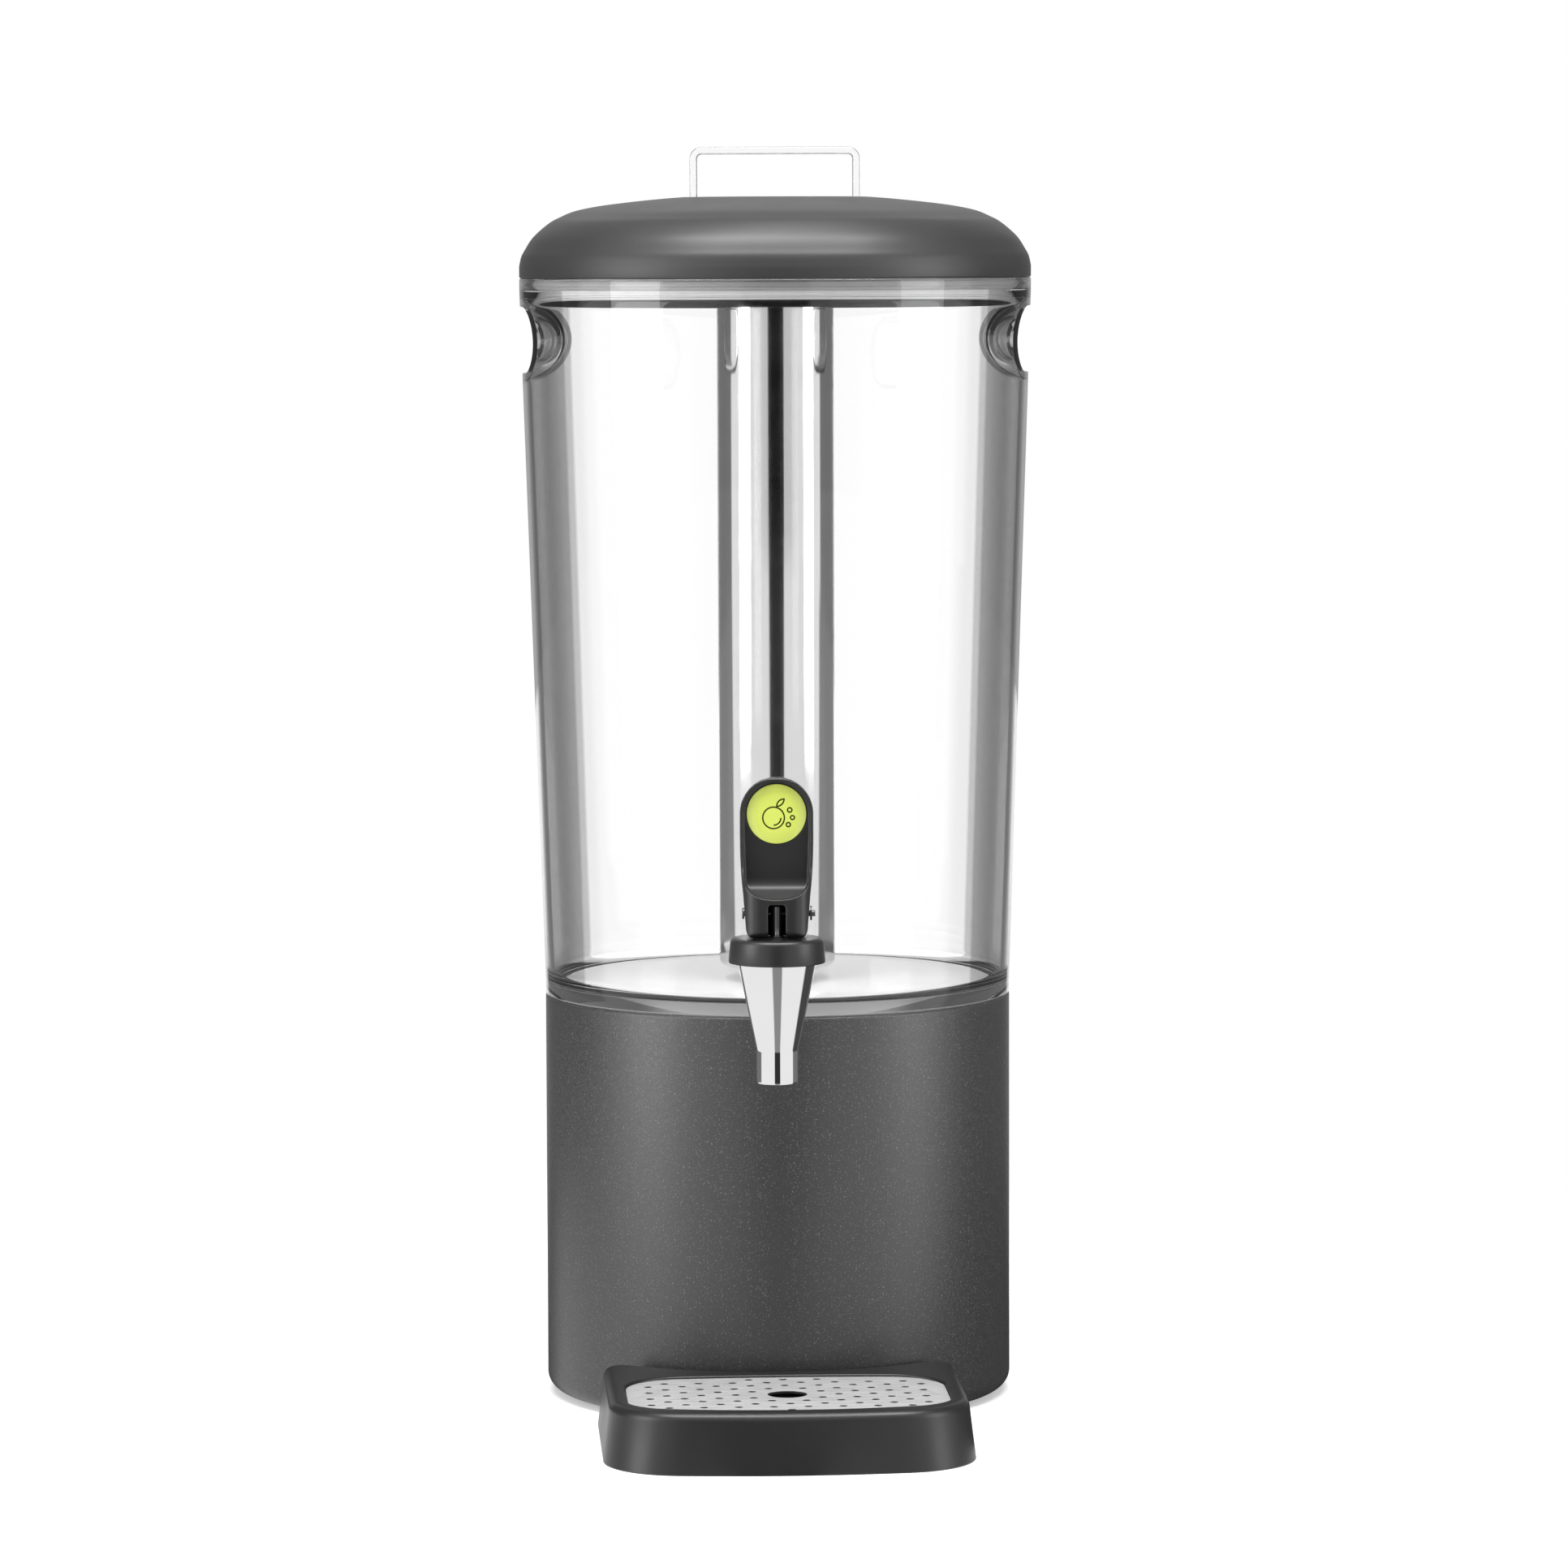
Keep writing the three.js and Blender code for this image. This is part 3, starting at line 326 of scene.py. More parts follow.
class Paint:
    """A node tree being filled: a finish's, or the world's."""

    def __init__(self, tree):
        self.tree = tree

    def node(self, kind, settings=None, values=(), output=0):
        made = self.tree.nodes.new(kind)
        for key, setting in (settings or {}).items():
            if key == "stops":
                self.set_stops(made.color_ramp, setting)
            else:
                setattr(made, key, setting)
        pairs = values.items() if isinstance(values, dict) else enumerate(values)
        for key, value in pairs:
            self.feed(made.inputs[key], value)
        return Value(self, made.outputs[output])

    def feed(self, socket, value):
        if isinstance(value, Value):
            self.tree.links.new(value.output, socket)
        else:
            socket.default_value = value

    @staticmethod
    def set_stops(ramp, stops):
        while len(ramp.elements) < len(stops):
            ramp.elements.new(1)
        for element, (place, colour) in zip(ramp.elements, stops):
            element.position = place
            element.color = colour

    def place(self):
        return self.node("ShaderNodeTexCoord", output="Object")

    def axes(self, vector):
        """A vector's three parts."""
        parts = self.node("ShaderNodeSeparateXYZ", values=[vector]).output.node.outputs
        return [Value(self, parts[axis]) for axis in "XYZ"]

    def length(self, vector):
        return self.node("ShaderNodeVectorMath", {"operation": "LENGTH"}, [vector], output="Value")

    def noise(self, scale, detail=2):
        values = {"Vector": self.place(), "Scale": scale, "Detail": detail}
        return self.node("ShaderNodeTexNoise", values=values)

    def band(self, value, start, end, low=0, high=1):
        """Goes smoothly from low to high as value goes from start to end, and stays there."""
        settings = {"interpolation_type": "SMOOTHSTEP"}
        return self.node("ShaderNodeMapRange", settings, [value, start, end, low, high])

    def spread(self, noise, low, high):
        """Goes from low to high over the middle of a noise's range."""
        return self.band(noise, 0.3, 0.7, low, high)

    def mix(self, share, first, second):
        settings = {"data_type": "RGBA"}
        return self.node("ShaderNodeMix", settings, {0: share, 6: first, 7: second}, output=2)

    def bump(self, height, strength, depth):
        values = {"Strength": strength, "Distance": depth, "Height": height}
        return self.node("ShaderNodeBump", values=values)

    def glow(self, strength):
        return self.node("ShaderNodeEmission", values={"Color": grey(1), "Strength": strength})

    def blend(self, share, first, second):
        return self.node("ShaderNodeMixShader", values=[share, first, second])

    def dress(self, **looks):
        """Feeds sockets of the surface shader, named with _ for a space."""
        surface = self.tree.nodes["Principled BSDF"]
        for key, value in looks.items():
            self.feed(surface.inputs[key.replace("_", " ")], value)


def grey(level):
    return (level, level, level, 1)


def shades(colour, *levels):
    """A colour made darker or lighter, once for each level."""
    return [(*(channel * level for channel in colour[:3]), 1) for level in levels]


def finish(name, **looks):
    """A new material and its paint, with what is the same all over it set on its surface shader."""
    material = bpy.data.materials.new(name)
    material.use_nodes = True
    paint = Paint(material.node_tree)
    paint.dress(**looks)
    return material, paint


# Finishes. Noises are given in waves for each metre, and the depth of a grain in metres.
COAT_DARK = (0.026, 0.026, 0.027, 1)
COAT_LIGHT = (0.04, 0.04, 0.041, 1)
FLECK_COLOUR = (0.16, 0.16, 0.165, 1)
LIME_DARK = (0.66, 0.76, 0.13, 1)
LIME_LIGHT = (0.72, 0.82, 0.16, 1)
LIME_INK = (0.035, 0.045, 0.006, 1)

# Painted shade on clear plastic, darker from face-on to edge-on, and on the wall in bands: place,
# and the share of light let through
GRIP_PAINTED_SHADE = ((0, 1), (0.6, 0.95), (1, 0.8))
RIM_PAINTED_SHADE = ((0, 0.66), (1, 0.5))
WALL_PAINTED_SHADE = (
    (0, 1), (0.44, 1), (0.455, 0.42), (0.50, 0.36), (0.62, 0.26),
    (0.66, 0.28), (0.70, 0.42), (0.76, 0.75), (0.90, 0.85), (1, 0.4),
)

# The badge's drawing, in millimetres from its centre
LINE_WIDTH = 0.62
FRUIT_X = -1.2
FRUIT_Y = -1.6
FRUIT_RADIUS = 4.4
SHINE_RADIUS = 3.0
LEAF_X = 1.6
LEAF_Y = 4.6
LEAF_OFFSET = 1.5
LEAF_RADIUS = 3.0
DROPS = ((5.4, 1.6, 0.9), (6.5, -1.5, 0.8), (4.8, -4.4, 0.85))


def moulded_plastic(name, colour, roughness, grain_depth):
    """Satin moulded plastic: a fine spark-eroded grain and faint broad differences in gloss."""
    material, paint = finish(name)
    grain = paint.noise(scale=1500, detail=3)
    broad = paint.noise(scale=22)
    dark, light = shades(colour, 0.9, 1.12)
    paint.dress(
        Base_Color=paint.mix(broad, dark, light),
        Roughness=paint.spread(broad, roughness - 0.03, roughness + 0.03),
        Normal=paint.bump(grain, strength=0.35, depth=grain_depth),
    )
    return material


def powder_coat():
    """Dark grey powder coat: an orange-peel grain with fine pale flecks in it."""
    material, paint = finish("powder_coat", Specular_IOR_Level=0.75)
    grain = paint.noise(scale=1100)
    peel = paint.noise(scale=420, detail=1)
    fleck = paint.band(paint.noise(scale=1900, detail=1), start=0.62, end=0.74)
    body = paint.mix(grain, COAT_DARK, COAT_LIGHT)
    paint.dress(
        Base_Color=paint.mix(fleck, body, FLECK_COLOUR),
        Roughness=paint.spread(grain, low=0.34, high=0.44),
        Normal=paint.bump(grain * 0.6 + peel * 0.4, strength=0.5, depth=0.00012),
    )
    return material


def clear_plastic(name, painted_shade):
    """Clear polycarbonate with painted shade: what it lets through is darkened from face-on to
    edge-on.
    """
    material, paint = finish(
        name, Transmission_Weight=1, IOR=1.5, Roughness=0.012, Specular_Tint=grey(0.8)
    )
    stops = [(place, grey(share)) for place, share in painted_shade]
    facing = paint.node("ShaderNodeLayerWeight", values={"Blend": 0.5}, output="Facing")
    # Painted shade: the colour that light passes through darkens towards edge-on faces
    paint.dress(Base_Color=paint.node("ShaderNodeValToRGB", {"stops": stops}, [facing]))
    return material


def painted_glow_plastic(name):
    """The same plastic where light that ran inside the slab comes out, given as painted light: a
    pale colour and a faint glow, a little cloudy.
    """
    material, paint = finish(name, Roughness=0.2, Specular_IOR_Level=0.5, Emission_Strength=0.12)
    cloud = paint.noise(scale=30)
    paint.dress(
        Base_Color=paint.mix(cloud, grey(0.6), grey(0.66)),
        Emission_Color=paint.mix(cloud, grey(0.92), grey(1)),
    )
    return material


def metal(name, colour, roughness, spread, cloud_scale=60):
    """A bare or plated metal, with soft differences in polish."""
    material, paint = finish(name, Metallic=1)
    cloud = paint.noise(cloud_scale, detail=3)
    darker, = shades(colour, 0.95)
    paint.dress(
        Base_Color=paint.mix(cloud, darker, colour),
        Roughness=paint.spread(cloud, roughness, roughness + spread),
    )
    return material


def satin_plate(name):
    """Satin steel sheet, light on its faces, with painted shade: the walls of its holes are painted
    near black.
    """
    material, paint = finish(name, Metallic=0.35)
    cloud = paint.noise(scale=140, detail=3)
    upward = paint.axes(paint.node("ShaderNodeTexCoord", output="Normal"))[2]
    # Painted shade: 1 on the sheet's faces and 0 on the walls of its holes, which take a near-black
    # colour
    level = paint.band(abs(upward), start=0.6, end=0.95)
    face = paint.mix(cloud, grey(0.52), grey(0.58))
    paint.dress(
        Base_Color=paint.mix(level, grey(0.03), face),
        Roughness=paint.spread(cloud, low=0.46, high=0.54),
    )
    return material


def soft_rubber(name, colour, roughness):
    """Rubber or silicone, a little uneven to the touch."""
    material, paint = finish(name)
    cloud = paint.noise(scale=300, detail=3)
    darker, = shades(colour, 0.85)
    paint.dress(
        Base_Color=paint.mix(cloud, darker, colour),
        Roughness=paint.spread(cloud, roughness, roughness + 0.1),
        Normal=paint.bump(cloud, strength=0.2, depth=0.0001),
    )
    return material


def badge_enamel():
    """Glossy lime enamel with a plain line drawing of a round fruit, its leaf and three drops."""
    material, paint = finish("lime_enamel", Roughness=0.16, Coat_Weight=0.6, Coat_Roughness=0.05)
    x, _, z = paint.axes(paint.place())
    across = x * (1 / MM)
    upward = z * (1 / MM) - (PIN_LEVEL + CROWN_HEIGHT)

    def distance(x, y):
        return paint.length(paint.node("ShaderNodeCombineXYZ", values=[across - x, upward - y]))

    def ring(x, y, radius):
        return abs(distance(x, y) - radius) < LINE_WIDTH / 2

    fruit = ring(FRUIT_X, FRUIT_Y, FRUIT_RADIUS)
    shine = ring(FRUIT_X, FRUIT_Y, SHINE_RADIUS) * (across > FRUIT_X) * (upward < FRUIT_Y)
    leaf_low = distance(LEAF_X + LEAF_OFFSET, LEAF_Y - LEAF_OFFSET) - LEAF_RADIUS
    leaf_high = distance(LEAF_X - LEAF_OFFSET, LEAF_Y + LEAF_OFFSET) - LEAF_RADIUS
    leaf = abs(leaf_low.most(leaf_high)) < LINE_WIDTH / 2
    drawing = fruit.most(shine).most(leaf)
    for x, y, radius in DROPS:
        drawing = drawing.most(ring(x, y, radius))
    lime = paint.mix(paint.noise(scale=90), LIME_DARK, LIME_LIGHT)
    paint.dress(Base_Color=paint.mix(drawing, lime, LIME_INK))
    return material


# Each finish with its colour and roughness, then its grain's depth or the spread of its gloss
PAINTS = {
    "lid_black": moulded_plastic("lid_black", grey(0.034), 0.40, 0.00006),
    "tray_black": moulded_plastic("tray_black", grey(0.014), 0.36, 0.00005),
    "lever_black": moulded_plastic("lever_black", grey(0.02), 0.36, 0.00004),
    "powder_coat": powder_coat(),
    # The clear plastics carry painted shade from face-on to edge-on
    "container_clear": clear_plastic("container_clear", WALL_PAINTED_SHADE),
    "container_rims": clear_plastic("container_rims", RIM_PAINTED_SHADE),
    "container_grips": clear_plastic("container_grips", GRIP_PAINTED_SHADE),
    "handle_clear": clear_plastic("handle_clear", WALL_PAINTED_SHADE),
    # A painted glow on the container's floor
    "container_floor": painted_glow_plastic("container_floor"),
    "chrome": metal("chrome", grey(0.82), 0.03, 0.03),
    "tube_polish": metal("tube_polish", grey(0.76), 0.05, 0.04),
    "grille_satin": satin_plate("grille_satin"),
    "steel": metal("steel", grey(0.6), 0.24, 0.1, 180),
    "dark_steel": metal("dark_steel", grey(0.13), 0.3, 0.1, 180),
    "silicone": soft_rubber("silicone", grey(0.72), 0.35),
    "rubber": soft_rubber("rubber", grey(0.02), 0.7),
    "lime_enamel": badge_enamel(),
}


# Shapes
def arc(centre_x, centre_y, radius, start, end, steps=ARC_STEPS):
    """Points on an arc about a centre, with its angles in degrees."""
    angles = [math.radians(start + (end - start) * i / steps) for i in range(steps + 1)]
    return [(centre_x + radius * math.cos(a), centre_y + radius * math.sin(a)) for a in angles]


def low_edge(radius, height, size, steps=ARC_STEPS):
    """The rounded lower outer edge of a turned profile, from its underside to its side."""
    return arc(radius - size, height + size, size, -90, 0, steps)


def high_edge(radius, height, size, steps=ARC_STEPS):
    """The rounded upper outer edge of a turned profile, from its side to its top."""
    return arc(radius - size, height - size, size, 0, 90, steps)


def smooth_line(points, steps):
    """A smooth spline through points, which leaves each along its neighbours' direction."""
    ends = [points[0], *points, points[-1]]
    line = [points[0]]
    for before, here, there, after in zip(ends, ends[1:], ends[2:], ends[3:]):
        for step in range(1, steps + 1):
            t = step / steps
            line.append(tuple(
                0.5 * (2 * b + (c - a) * t + (2 * a - 5 * b + 4 * c - d) * t**2
                       + (3 * b - a - 3 * c + d) * t**3)
                for a, b, c, d in zip(before, here, there, after)
            ))
    return line


def turned(profile, sides=SIDES):
    """A closed profile of radius and height, or one that ends on the axis twice, turned about Z."""
    mesh = bmesh.new()
    corners = [mesh.verts.new((radius, 0, height)) for radius, height in profile]
    edges = [mesh.edges.new(pair) for pair in zip(corners, corners[1:])]
    if profile[0][0] or profile[-1][0]:
        edges.append(mesh.edges.new((corners[-1], corners[0])))
    bmesh.ops.spin(
        mesh, geom=corners + edges, axis=(0, 0, 1), cent=(0, 0, 0),
        angle=math.tau, steps=sides, use_merge=True,
    )
    bmesh.ops.remove_doubles(mesh, verts=mesh.verts, dist=MERGE)
    bmesh.ops.recalc_face_normals(mesh, faces=mesh.faces)
    return mesh


def disc(radius, bottom, top, sides=SMALL_SIDES):
    return turned([(0, bottom), (radius, bottom), (radius, top), (0, top)], sides)


def prism(outline, near, far):
    """An outline in X and Y raised from one height to another."""
    mesh = bmesh.new()
    face = mesh.faces.new([mesh.verts.new((x, y, near)) for x, y in outline])
    raised = bmesh.ops.extrude_face_region(mesh, geom=[face])["geom"]
    corners = [item for item in raised if isinstance(item, bmesh.types.BMVert)]
    bmesh.ops.translate(mesh, verts=corners, vec=(0, 0, far - near))
    bmesh.ops.recalc_face_normals(mesh, faces=mesh.faces)
    return mesh


def moved(mesh, matrix):
    """The mesh carried elsewhere, with its faces turned outwards again in case it was mirrored."""
    bmesh.ops.transform(mesh, matrix=matrix, verts=mesh.verts)
    bmesh.ops.recalc_face_normals(mesh, faces=mesh.faces)
    return mesh


# Turns that stand a shape drawn flat upright: one seen from the front, one seen from the side
FROM_FRONT = Matrix(((1, 0, 0, 0), (0, 0, 1, 0), (0, 1, 0, 0), (0, 0, 0, 1)))
FROM_SIDE = Matrix(((0, 0, 1, 0), (1, 0, 0, 0), (0, 1, 0, 0), (0, 0, 0, 1)))


def front_prism(outline, near, far):
    """An outline in X and height, carried along Y."""
    return moved(prism(outline, near, far), FROM_FRONT)


def side_prism(outline, left, right):
    """An outline in Y and height, carried along X."""
    return moved(prism(outline, left, right), FROM_SIDE)


def rod_along_y(radius, near, far, height=0):
    mesh = moved(disc(radius, near, far), FROM_FRONT)
    bmesh.ops.translate(mesh, verts=mesh.verts, vec=(0, 0, height))
    return mesh


def rod_along_x(radius, left, right):
    return moved(disc(radius, left, right), FROM_SIDE)


def skinned(levels):
    """A closed skin through outlines at their heights, with both ends filled."""
    mesh = bmesh.new()
    loops = []
    for outline, height in levels:
        corners = [mesh.verts.new((x, y, height)) for x, y in outline]
        loops.append([mesh.edges.new(pair) for pair in zip(corners, corners[1:] + corners[:1])])
    for lower, upper in zip(loops, loops[1:]):
        bmesh.ops.bridge_loops(mesh, edges=lower + upper)
    bmesh.ops.holes_fill(mesh, edges=mesh.edges, sides=0)
    bmesh.ops.recalc_face_normals(mesh, faces=mesh.faces)
    return mesh


def placed(name, data):
    """A new object in the scene for a mesh, curve, camera or lamp."""
    made = bpy.data.objects.new(name, data)
    bpy.context.scene.collection.objects.link(made)
    return made


def as_object(mesh, name="shape"):
    data = bpy.data.meshes.new(name)
    mesh.to_mesh(data)
    mesh.free()
    return placed(name, data)


def discard(shape):
    data = shape.data
    bpy.data.objects.remove(shape)
    bpy.data.meshes.remove(data)


def applied(shape):
    """The mesh that an object's modifiers make of it. The object is used up."""
    mesh = bmesh.new()
    mesh.from_object(shape, bpy.context.evaluated_depsgraph_get())
    discard(shape)
    return mesh


def joined(operation, first, *others):
    """Meshes put together, cut or crossed, one after the other."""
    for other in others:
        shape = as_object(first)
        tool = as_object(other, "tool")
        modifier = shape.modifiers.new("cut", "BOOLEAN")
        modifier.operation = operation
        modifier.solver = "EXACT"
        modifier.object = tool
        first = applied(shape)
        discard(tool)
    bmesh.ops.remove_doubles(first, verts=first.verts, dist=MERGE)
    return first


def softened(mesh, voxel, rounds):
    """The mesh rebuilt in small squares and smoothed, so that its edges are rounded as moulded."""
    shape = as_object(mesh)
    modifier = shape.modifiers.new("squares", "REMESH")
    modifier.mode = "VOXEL"
    modifier.voxel_size = voxel
    mesh = applied(shape)
    for _ in range(rounds):
        bmesh.ops.smooth_vert(
            mesh, verts=mesh.verts, factor=0.5, use_axis_x=True, use_axis_y=True, use_axis_z=True
        )
    return mesh


def piece(name, mesh, paint, body, slot, *nodes, sharp=SHARP_ANGLE):
    """Brings a mesh to metres and makes it a piece that rides on a body and stands for nodes."""
    bmesh.ops.scale(mesh, vec=(MM, MM, MM), verts=mesh.verts)
    for face in mesh.faces:
        face.smooth = True
    for edge in mesh.edges:
        if len(edge.link_faces) == 2:
            edge.smooth = edge.calc_face_angle(0) < sharp
    made = as_object(mesh, name)
    made.data.materials.append(PAINTS[paint])
    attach(made, body)
    if nodes:
        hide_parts(*nodes)
    return made


def face_places(made):
    """Each face of a piece, its distance from the container's axis and its height."""
    for face in made.data.polygons:
        x, y, z = face.center
        yield face, math.hypot(x, y) / MM, z / MM


def repaint(paint, *nodes):
    """Gives nodes that keep their own solids a finish."""
    for node in nodes:
        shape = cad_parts[node]
        shape.data.materials.clear()
        shape.data.materials.append(PAINTS[paint])


def container_radius(height):
    share = (height - TAPER_START) / (TAPER_END - TAPER_START)
    return BASE_RADIUS + (RIM_RADIUS - BASE_RADIUS) * min(max(share, 0), 1)


# Base
def make_base():
    bottom = PAD_THICKNESS
    foot = BASE_RADIUS - BASE_FOOT_ROUND
    lip_bore = BASE_RADIUS - BASE_LIP_WIDTH
    shell = turned([
        (0, bottom),
        *low_edge(BASE_RADIUS, bottom, BASE_FOOT_ROUND, BEND_STEPS),
        *high_edge(BASE_RADIUS, BASE_TOP, BASE_RIM_ROUND),
        *arc(lip_bore + BASE_WALL / 2, BASE_TOP - BASE_WALL / 2, BASE_WALL / 2, 90, 270),
        *arc(BASE_RADIUS - BASE_WALL - 1, BASE_TOP - BASE_WALL - 1, 1, 90, 0),
        *arc(foot, bottom + BASE_FOOT_ROUND, BASE_FOOT_ROUND - BASE_WALL, 0, -90),
        (0, bottom + BASE_WALL),
    ])
    piece("base_can", shell, "powder_coat", "base", "powder_coat", "base_shell")
    pad = turned([
        (0, 0),
        *low_edge(PAD_RADIUS, 0, SOFT_ROUND),
        (PAD_RADIUS, bottom),
        (0, bottom),
    ])
    piece("base_foot_pad", pad, "rubber", "base", "black_rubber", "base_pad")


# Container
def grip_bowl(side, wall):
    """The scooped bowl of a hand grip, or with a wall added the moulding round it."""
    across = GRIP_DEPTH + wall
    reach = GRIP_LENGTH / 2 - GRIP_DEPTH
    bowl = turned([
        *arc(0, -reach, across, -90, 0, steps=14),
        *arc(0, reach, across, 0, 90, steps=14),
    ], sides=72)
    place = Matrix.Translation((side * GRIP_CENTRE, 0, GRIP_LEVEL))
    squash = Matrix.Diagonal((1, 1, (GRIP_HEIGHT / 2 + wall) / across, 1))
    return moved(bowl, place @ squash @ Matrix.Rotation(math.pi / 2, 4, "X"))


def wall_line(inset, start, end, steps):
    """Points up the container's wall, close enough together for its grips to be cut cleanly."""
    heights = [start + (end - start) * i / steps for i in range(steps + 1)]
    return [(container_radius(height) - inset, height) for height in heights]


def container_outside():
    return [
        (BASE_RADIUS - EDGE_ROUND, BASE_TOP),
        *low_edge(BASE_RADIUS, BASE_TOP, EDGE_ROUND, EDGE_STEPS),
        *wall_line(0, TAPER_START, PLAIN_WALL_END, steps=5),
        *wall_line(0, FINE_WALL_START, TAPER_END, steps=8),
        *high_edge(RIM_RADIUS, CONTAINER_TOP, EDGE_ROUND, LIP_STEPS),
    ]


def make_container():
    blend_end = TAPER_END - RIM_BLEND
    round_top = CONTAINER_FLOOR + FLOOR_ROUND
    round_centre = container_radius(round_top) - CONTAINER_WALL - FLOOR_ROUND
    vessel = turned([
        (0, BASE_TOP),
        (SPIGOT_BORE, BASE_TOP),
        (SPIGOT_BORE, SPIGOT_BOTTOM),
        (SPIGOT_RADIUS, SPIGOT_BOTTOM),
        (SPIGOT_RADIUS, BASE_TOP),
        *container_outside(),
        *arc(RIM_BORE + SOFT_ROUND, CONTAINER_TOP - SOFT_ROUND, SOFT_ROUND, 90, 180, EDGE_STEPS),
        (RIM_BORE, TAPER_END),
        *wall_line(CONTAINER_WALL, blend_end, FINE_WALL_START, steps=7),
        *wall_line(CONTAINER_WALL, PLAIN_WALL_END, round_top + 1, steps=5),
        *arc(round_centre, round_top, FLOOR_ROUND, 0, -90, ROUND_STEPS),
        (0, CONTAINER_FLOOR),
    ])
    envelope = [(0, BASE_TOP), *container_outside(), (0, CONTAINER_TOP)]
    for side in (-1, 1):
        moulding = joined("INTERSECT", grip_bowl(side, CONTAINER_WALL), turned(envelope))
        vessel = joined("UNION", vessel, moulding)
    vessel = joined("DIFFERENCE", vessel, grip_bowl(-1, 0), grip_bowl(1, 0))
    front = SEAT_FACE - TAP_REACH
    back = SEAT_BACK - TAP_REACH
    pad = rod_along_y(SEAT_RADIUS, front, back, TAP_HEIGHT)
    vessel = joined("UNION", vessel, pad)
    vessel = joined(
        "DIFFERENCE", vessel,
        rod_along_y(SEAT_RELIEF, back, back + SEAT_RADIUS, TAP_HEIGHT),
        rod_along_y(SEAT_RADIUS, front - SEAT_RADIUS, front, TAP_HEIGHT),
        rod_along_y(SHANK_HOLE, front - SEAT_RADIUS, back + OVERCUT, TAP_HEIGHT),
    )
    made = piece(
        "clear_container", vessel, "container_clear", "container", "clear_plastic", "container"
    )
    made.visible_shadow = False
    # The floor's flat faces take a painted glow; the rims and grips take their painted shade
    for paint in ("container_floor", "container_rims", "container_grips"):
        made.data.materials.append(PAINTS[paint])
    for face, reach, height in face_places(made):
        outside = container_radius(height)
        beside_grip = abs(height - GRIP_LEVEL) < GRIP_HEIGHT / 2 + CONTAINER_WALL
        on_wall = min(abs(reach - outside), abs(reach - outside + CONTAINER_WALL)) < GRIP_MARGIN
        on_floor = abs(height - CONTAINER_FLOOR) < EDGE_ROUND and reach < SPIGOT_RADIUS
        if on_floor and face.normal.z > FLAT_ENOUGH:
            face.material_index = 1
        elif reach > BASE_RADIUS - EDGE_ROUND and not TAPER_START < height < TAPER_END:
            face.material_index = 2
        elif beside_grip and not on_wall:
            face.material_index = 3


# Tap
def at_tap(mesh, height=TAP_HEIGHT):
    bmesh.ops.translate(mesh, verts=mesh.verts, vec=(0, -TAP_REACH, height))
    return mesh


def make_spout():
    outside = turned([
        (0, OUTLET_TIP),
        *low_edge(OUTLET_RADIUS, OUTLET_TIP, SOFT_ROUND, LIP_STEPS),
        (OUTLET_RADIUS, OUTLET_TIP + OUTLET_LIP),
        *((OUTLET_RADIUS + out, CONE_BOTTOM + up) for out, up in CONE_EASE),
        (CONE_TOP_RADIUS, CONE_TOP),
        (NECK_RADIUS, CONE_TOP),
        (NECK_RADIUS, NECK_TOP),
        (0, NECK_TOP),
    ])
    chamber = turned([
        (0, OUTLET_TIP - OVERCUT),
        (OUTLET_BORE, OUTLET_TIP - OVERCUT),
        (OUTLET_BORE, VALVE_SEAT),
        (NECK_BORE, CHAMBER),
        (NECK_BORE, NECK_TOP + OVERCUT),
        (0, NECK_TOP + OVERCUT),
    ])
    flange_back = SEAT_FACE - FRONT_GASKET
    body = joined(
        "UNION", outside,
        rod_along_y(SHANK_RADIUS, 0, flange_back - 1),
        rod_along_y(FLANGE_RADIUS, flange_back - FLANGE_THICKNESS, flange_back),
        rod_along_y(THREAD_RADIUS, flange_back - 1, SHANK_TIP),
    )
    body = joined("DIFFERENCE", body, chamber, rod_along_y(SHANK_BORE, 0, SHANK_TIP + OVERCUT))
    piece("tap_spout", at_tap(body), "chrome", "container", "chrome", "tap_body")


def washer_along_y(bore, radius, near, far):
    """A flat washer with rounded edges, on the tap's shank."""
    edge = (far - near) / 4
    washer = turned([
        (bore, near),
        *low_edge(radius, near, edge, EDGE_STEPS),
        *high_edge(radius, far, edge, EDGE_STEPS),
        (bore, far),
    ], SMALL_SIDES)
    return at_tap(moved(washer, FROM_FRONT))


def make_tap_seals():
    front = washer_along_y(SHANK_HOLE, GASKET_RADIUS, SEAT_FACE - FRONT_GASKET, SEAT_FACE)
    piece("front_washer", front, "silicone", "container", "silicone", "tap_gasket_front")
    rear = washer_along_y(SHANK_HOLE, GASKET_RADIUS, SEAT_BACK, SEAT_BACK + REAR_GASKET)
    piece("rear_washer", rear, "silicone", "container", "silicone", "tap_gasket_rear")
    repaint("silicone", "bonnet_gasket", "valve_seat_cup", "tube_gasket")
    repaint("lever_black", "tap_nut")
    repaint("steel", "valve_spring", "handle_nut_left", "handle_nut_right")
    repaint("dark_steel", "pin_clip")


def make_bonnet():
    underside = BONNET_TOP - BONNET_PLATE
    cap = turned([
        (NECK_RADIUS + PLAY, BONNET_BOTTOM),
        *low_edge(BONNET_RADIUS, BONNET_BOTTOM, SOFT_ROUND, EDGE_STEPS),
        *arc(BONNET_TOP_RADIUS - BONNET_ROUND, BONNET_TOP - BONNET_ROUND, BONNET_ROUND,
             BONNET_DRAFT, 90, ROUND_STEPS),
        *arc(STEM_RADIUS + PLAY + FINE_ROUND, BONNET_TOP - FINE_ROUND, FINE_ROUND, 90, 180,
             EDGE_STEPS),
        (STEM_RADIUS + PLAY, underside),
        (NECK_RADIUS + PLAY, underside),
    ])
    piece("bonnet_cap", at_tap(cap), "lever_black", "container", "black_plastic", "tap_bonnet")


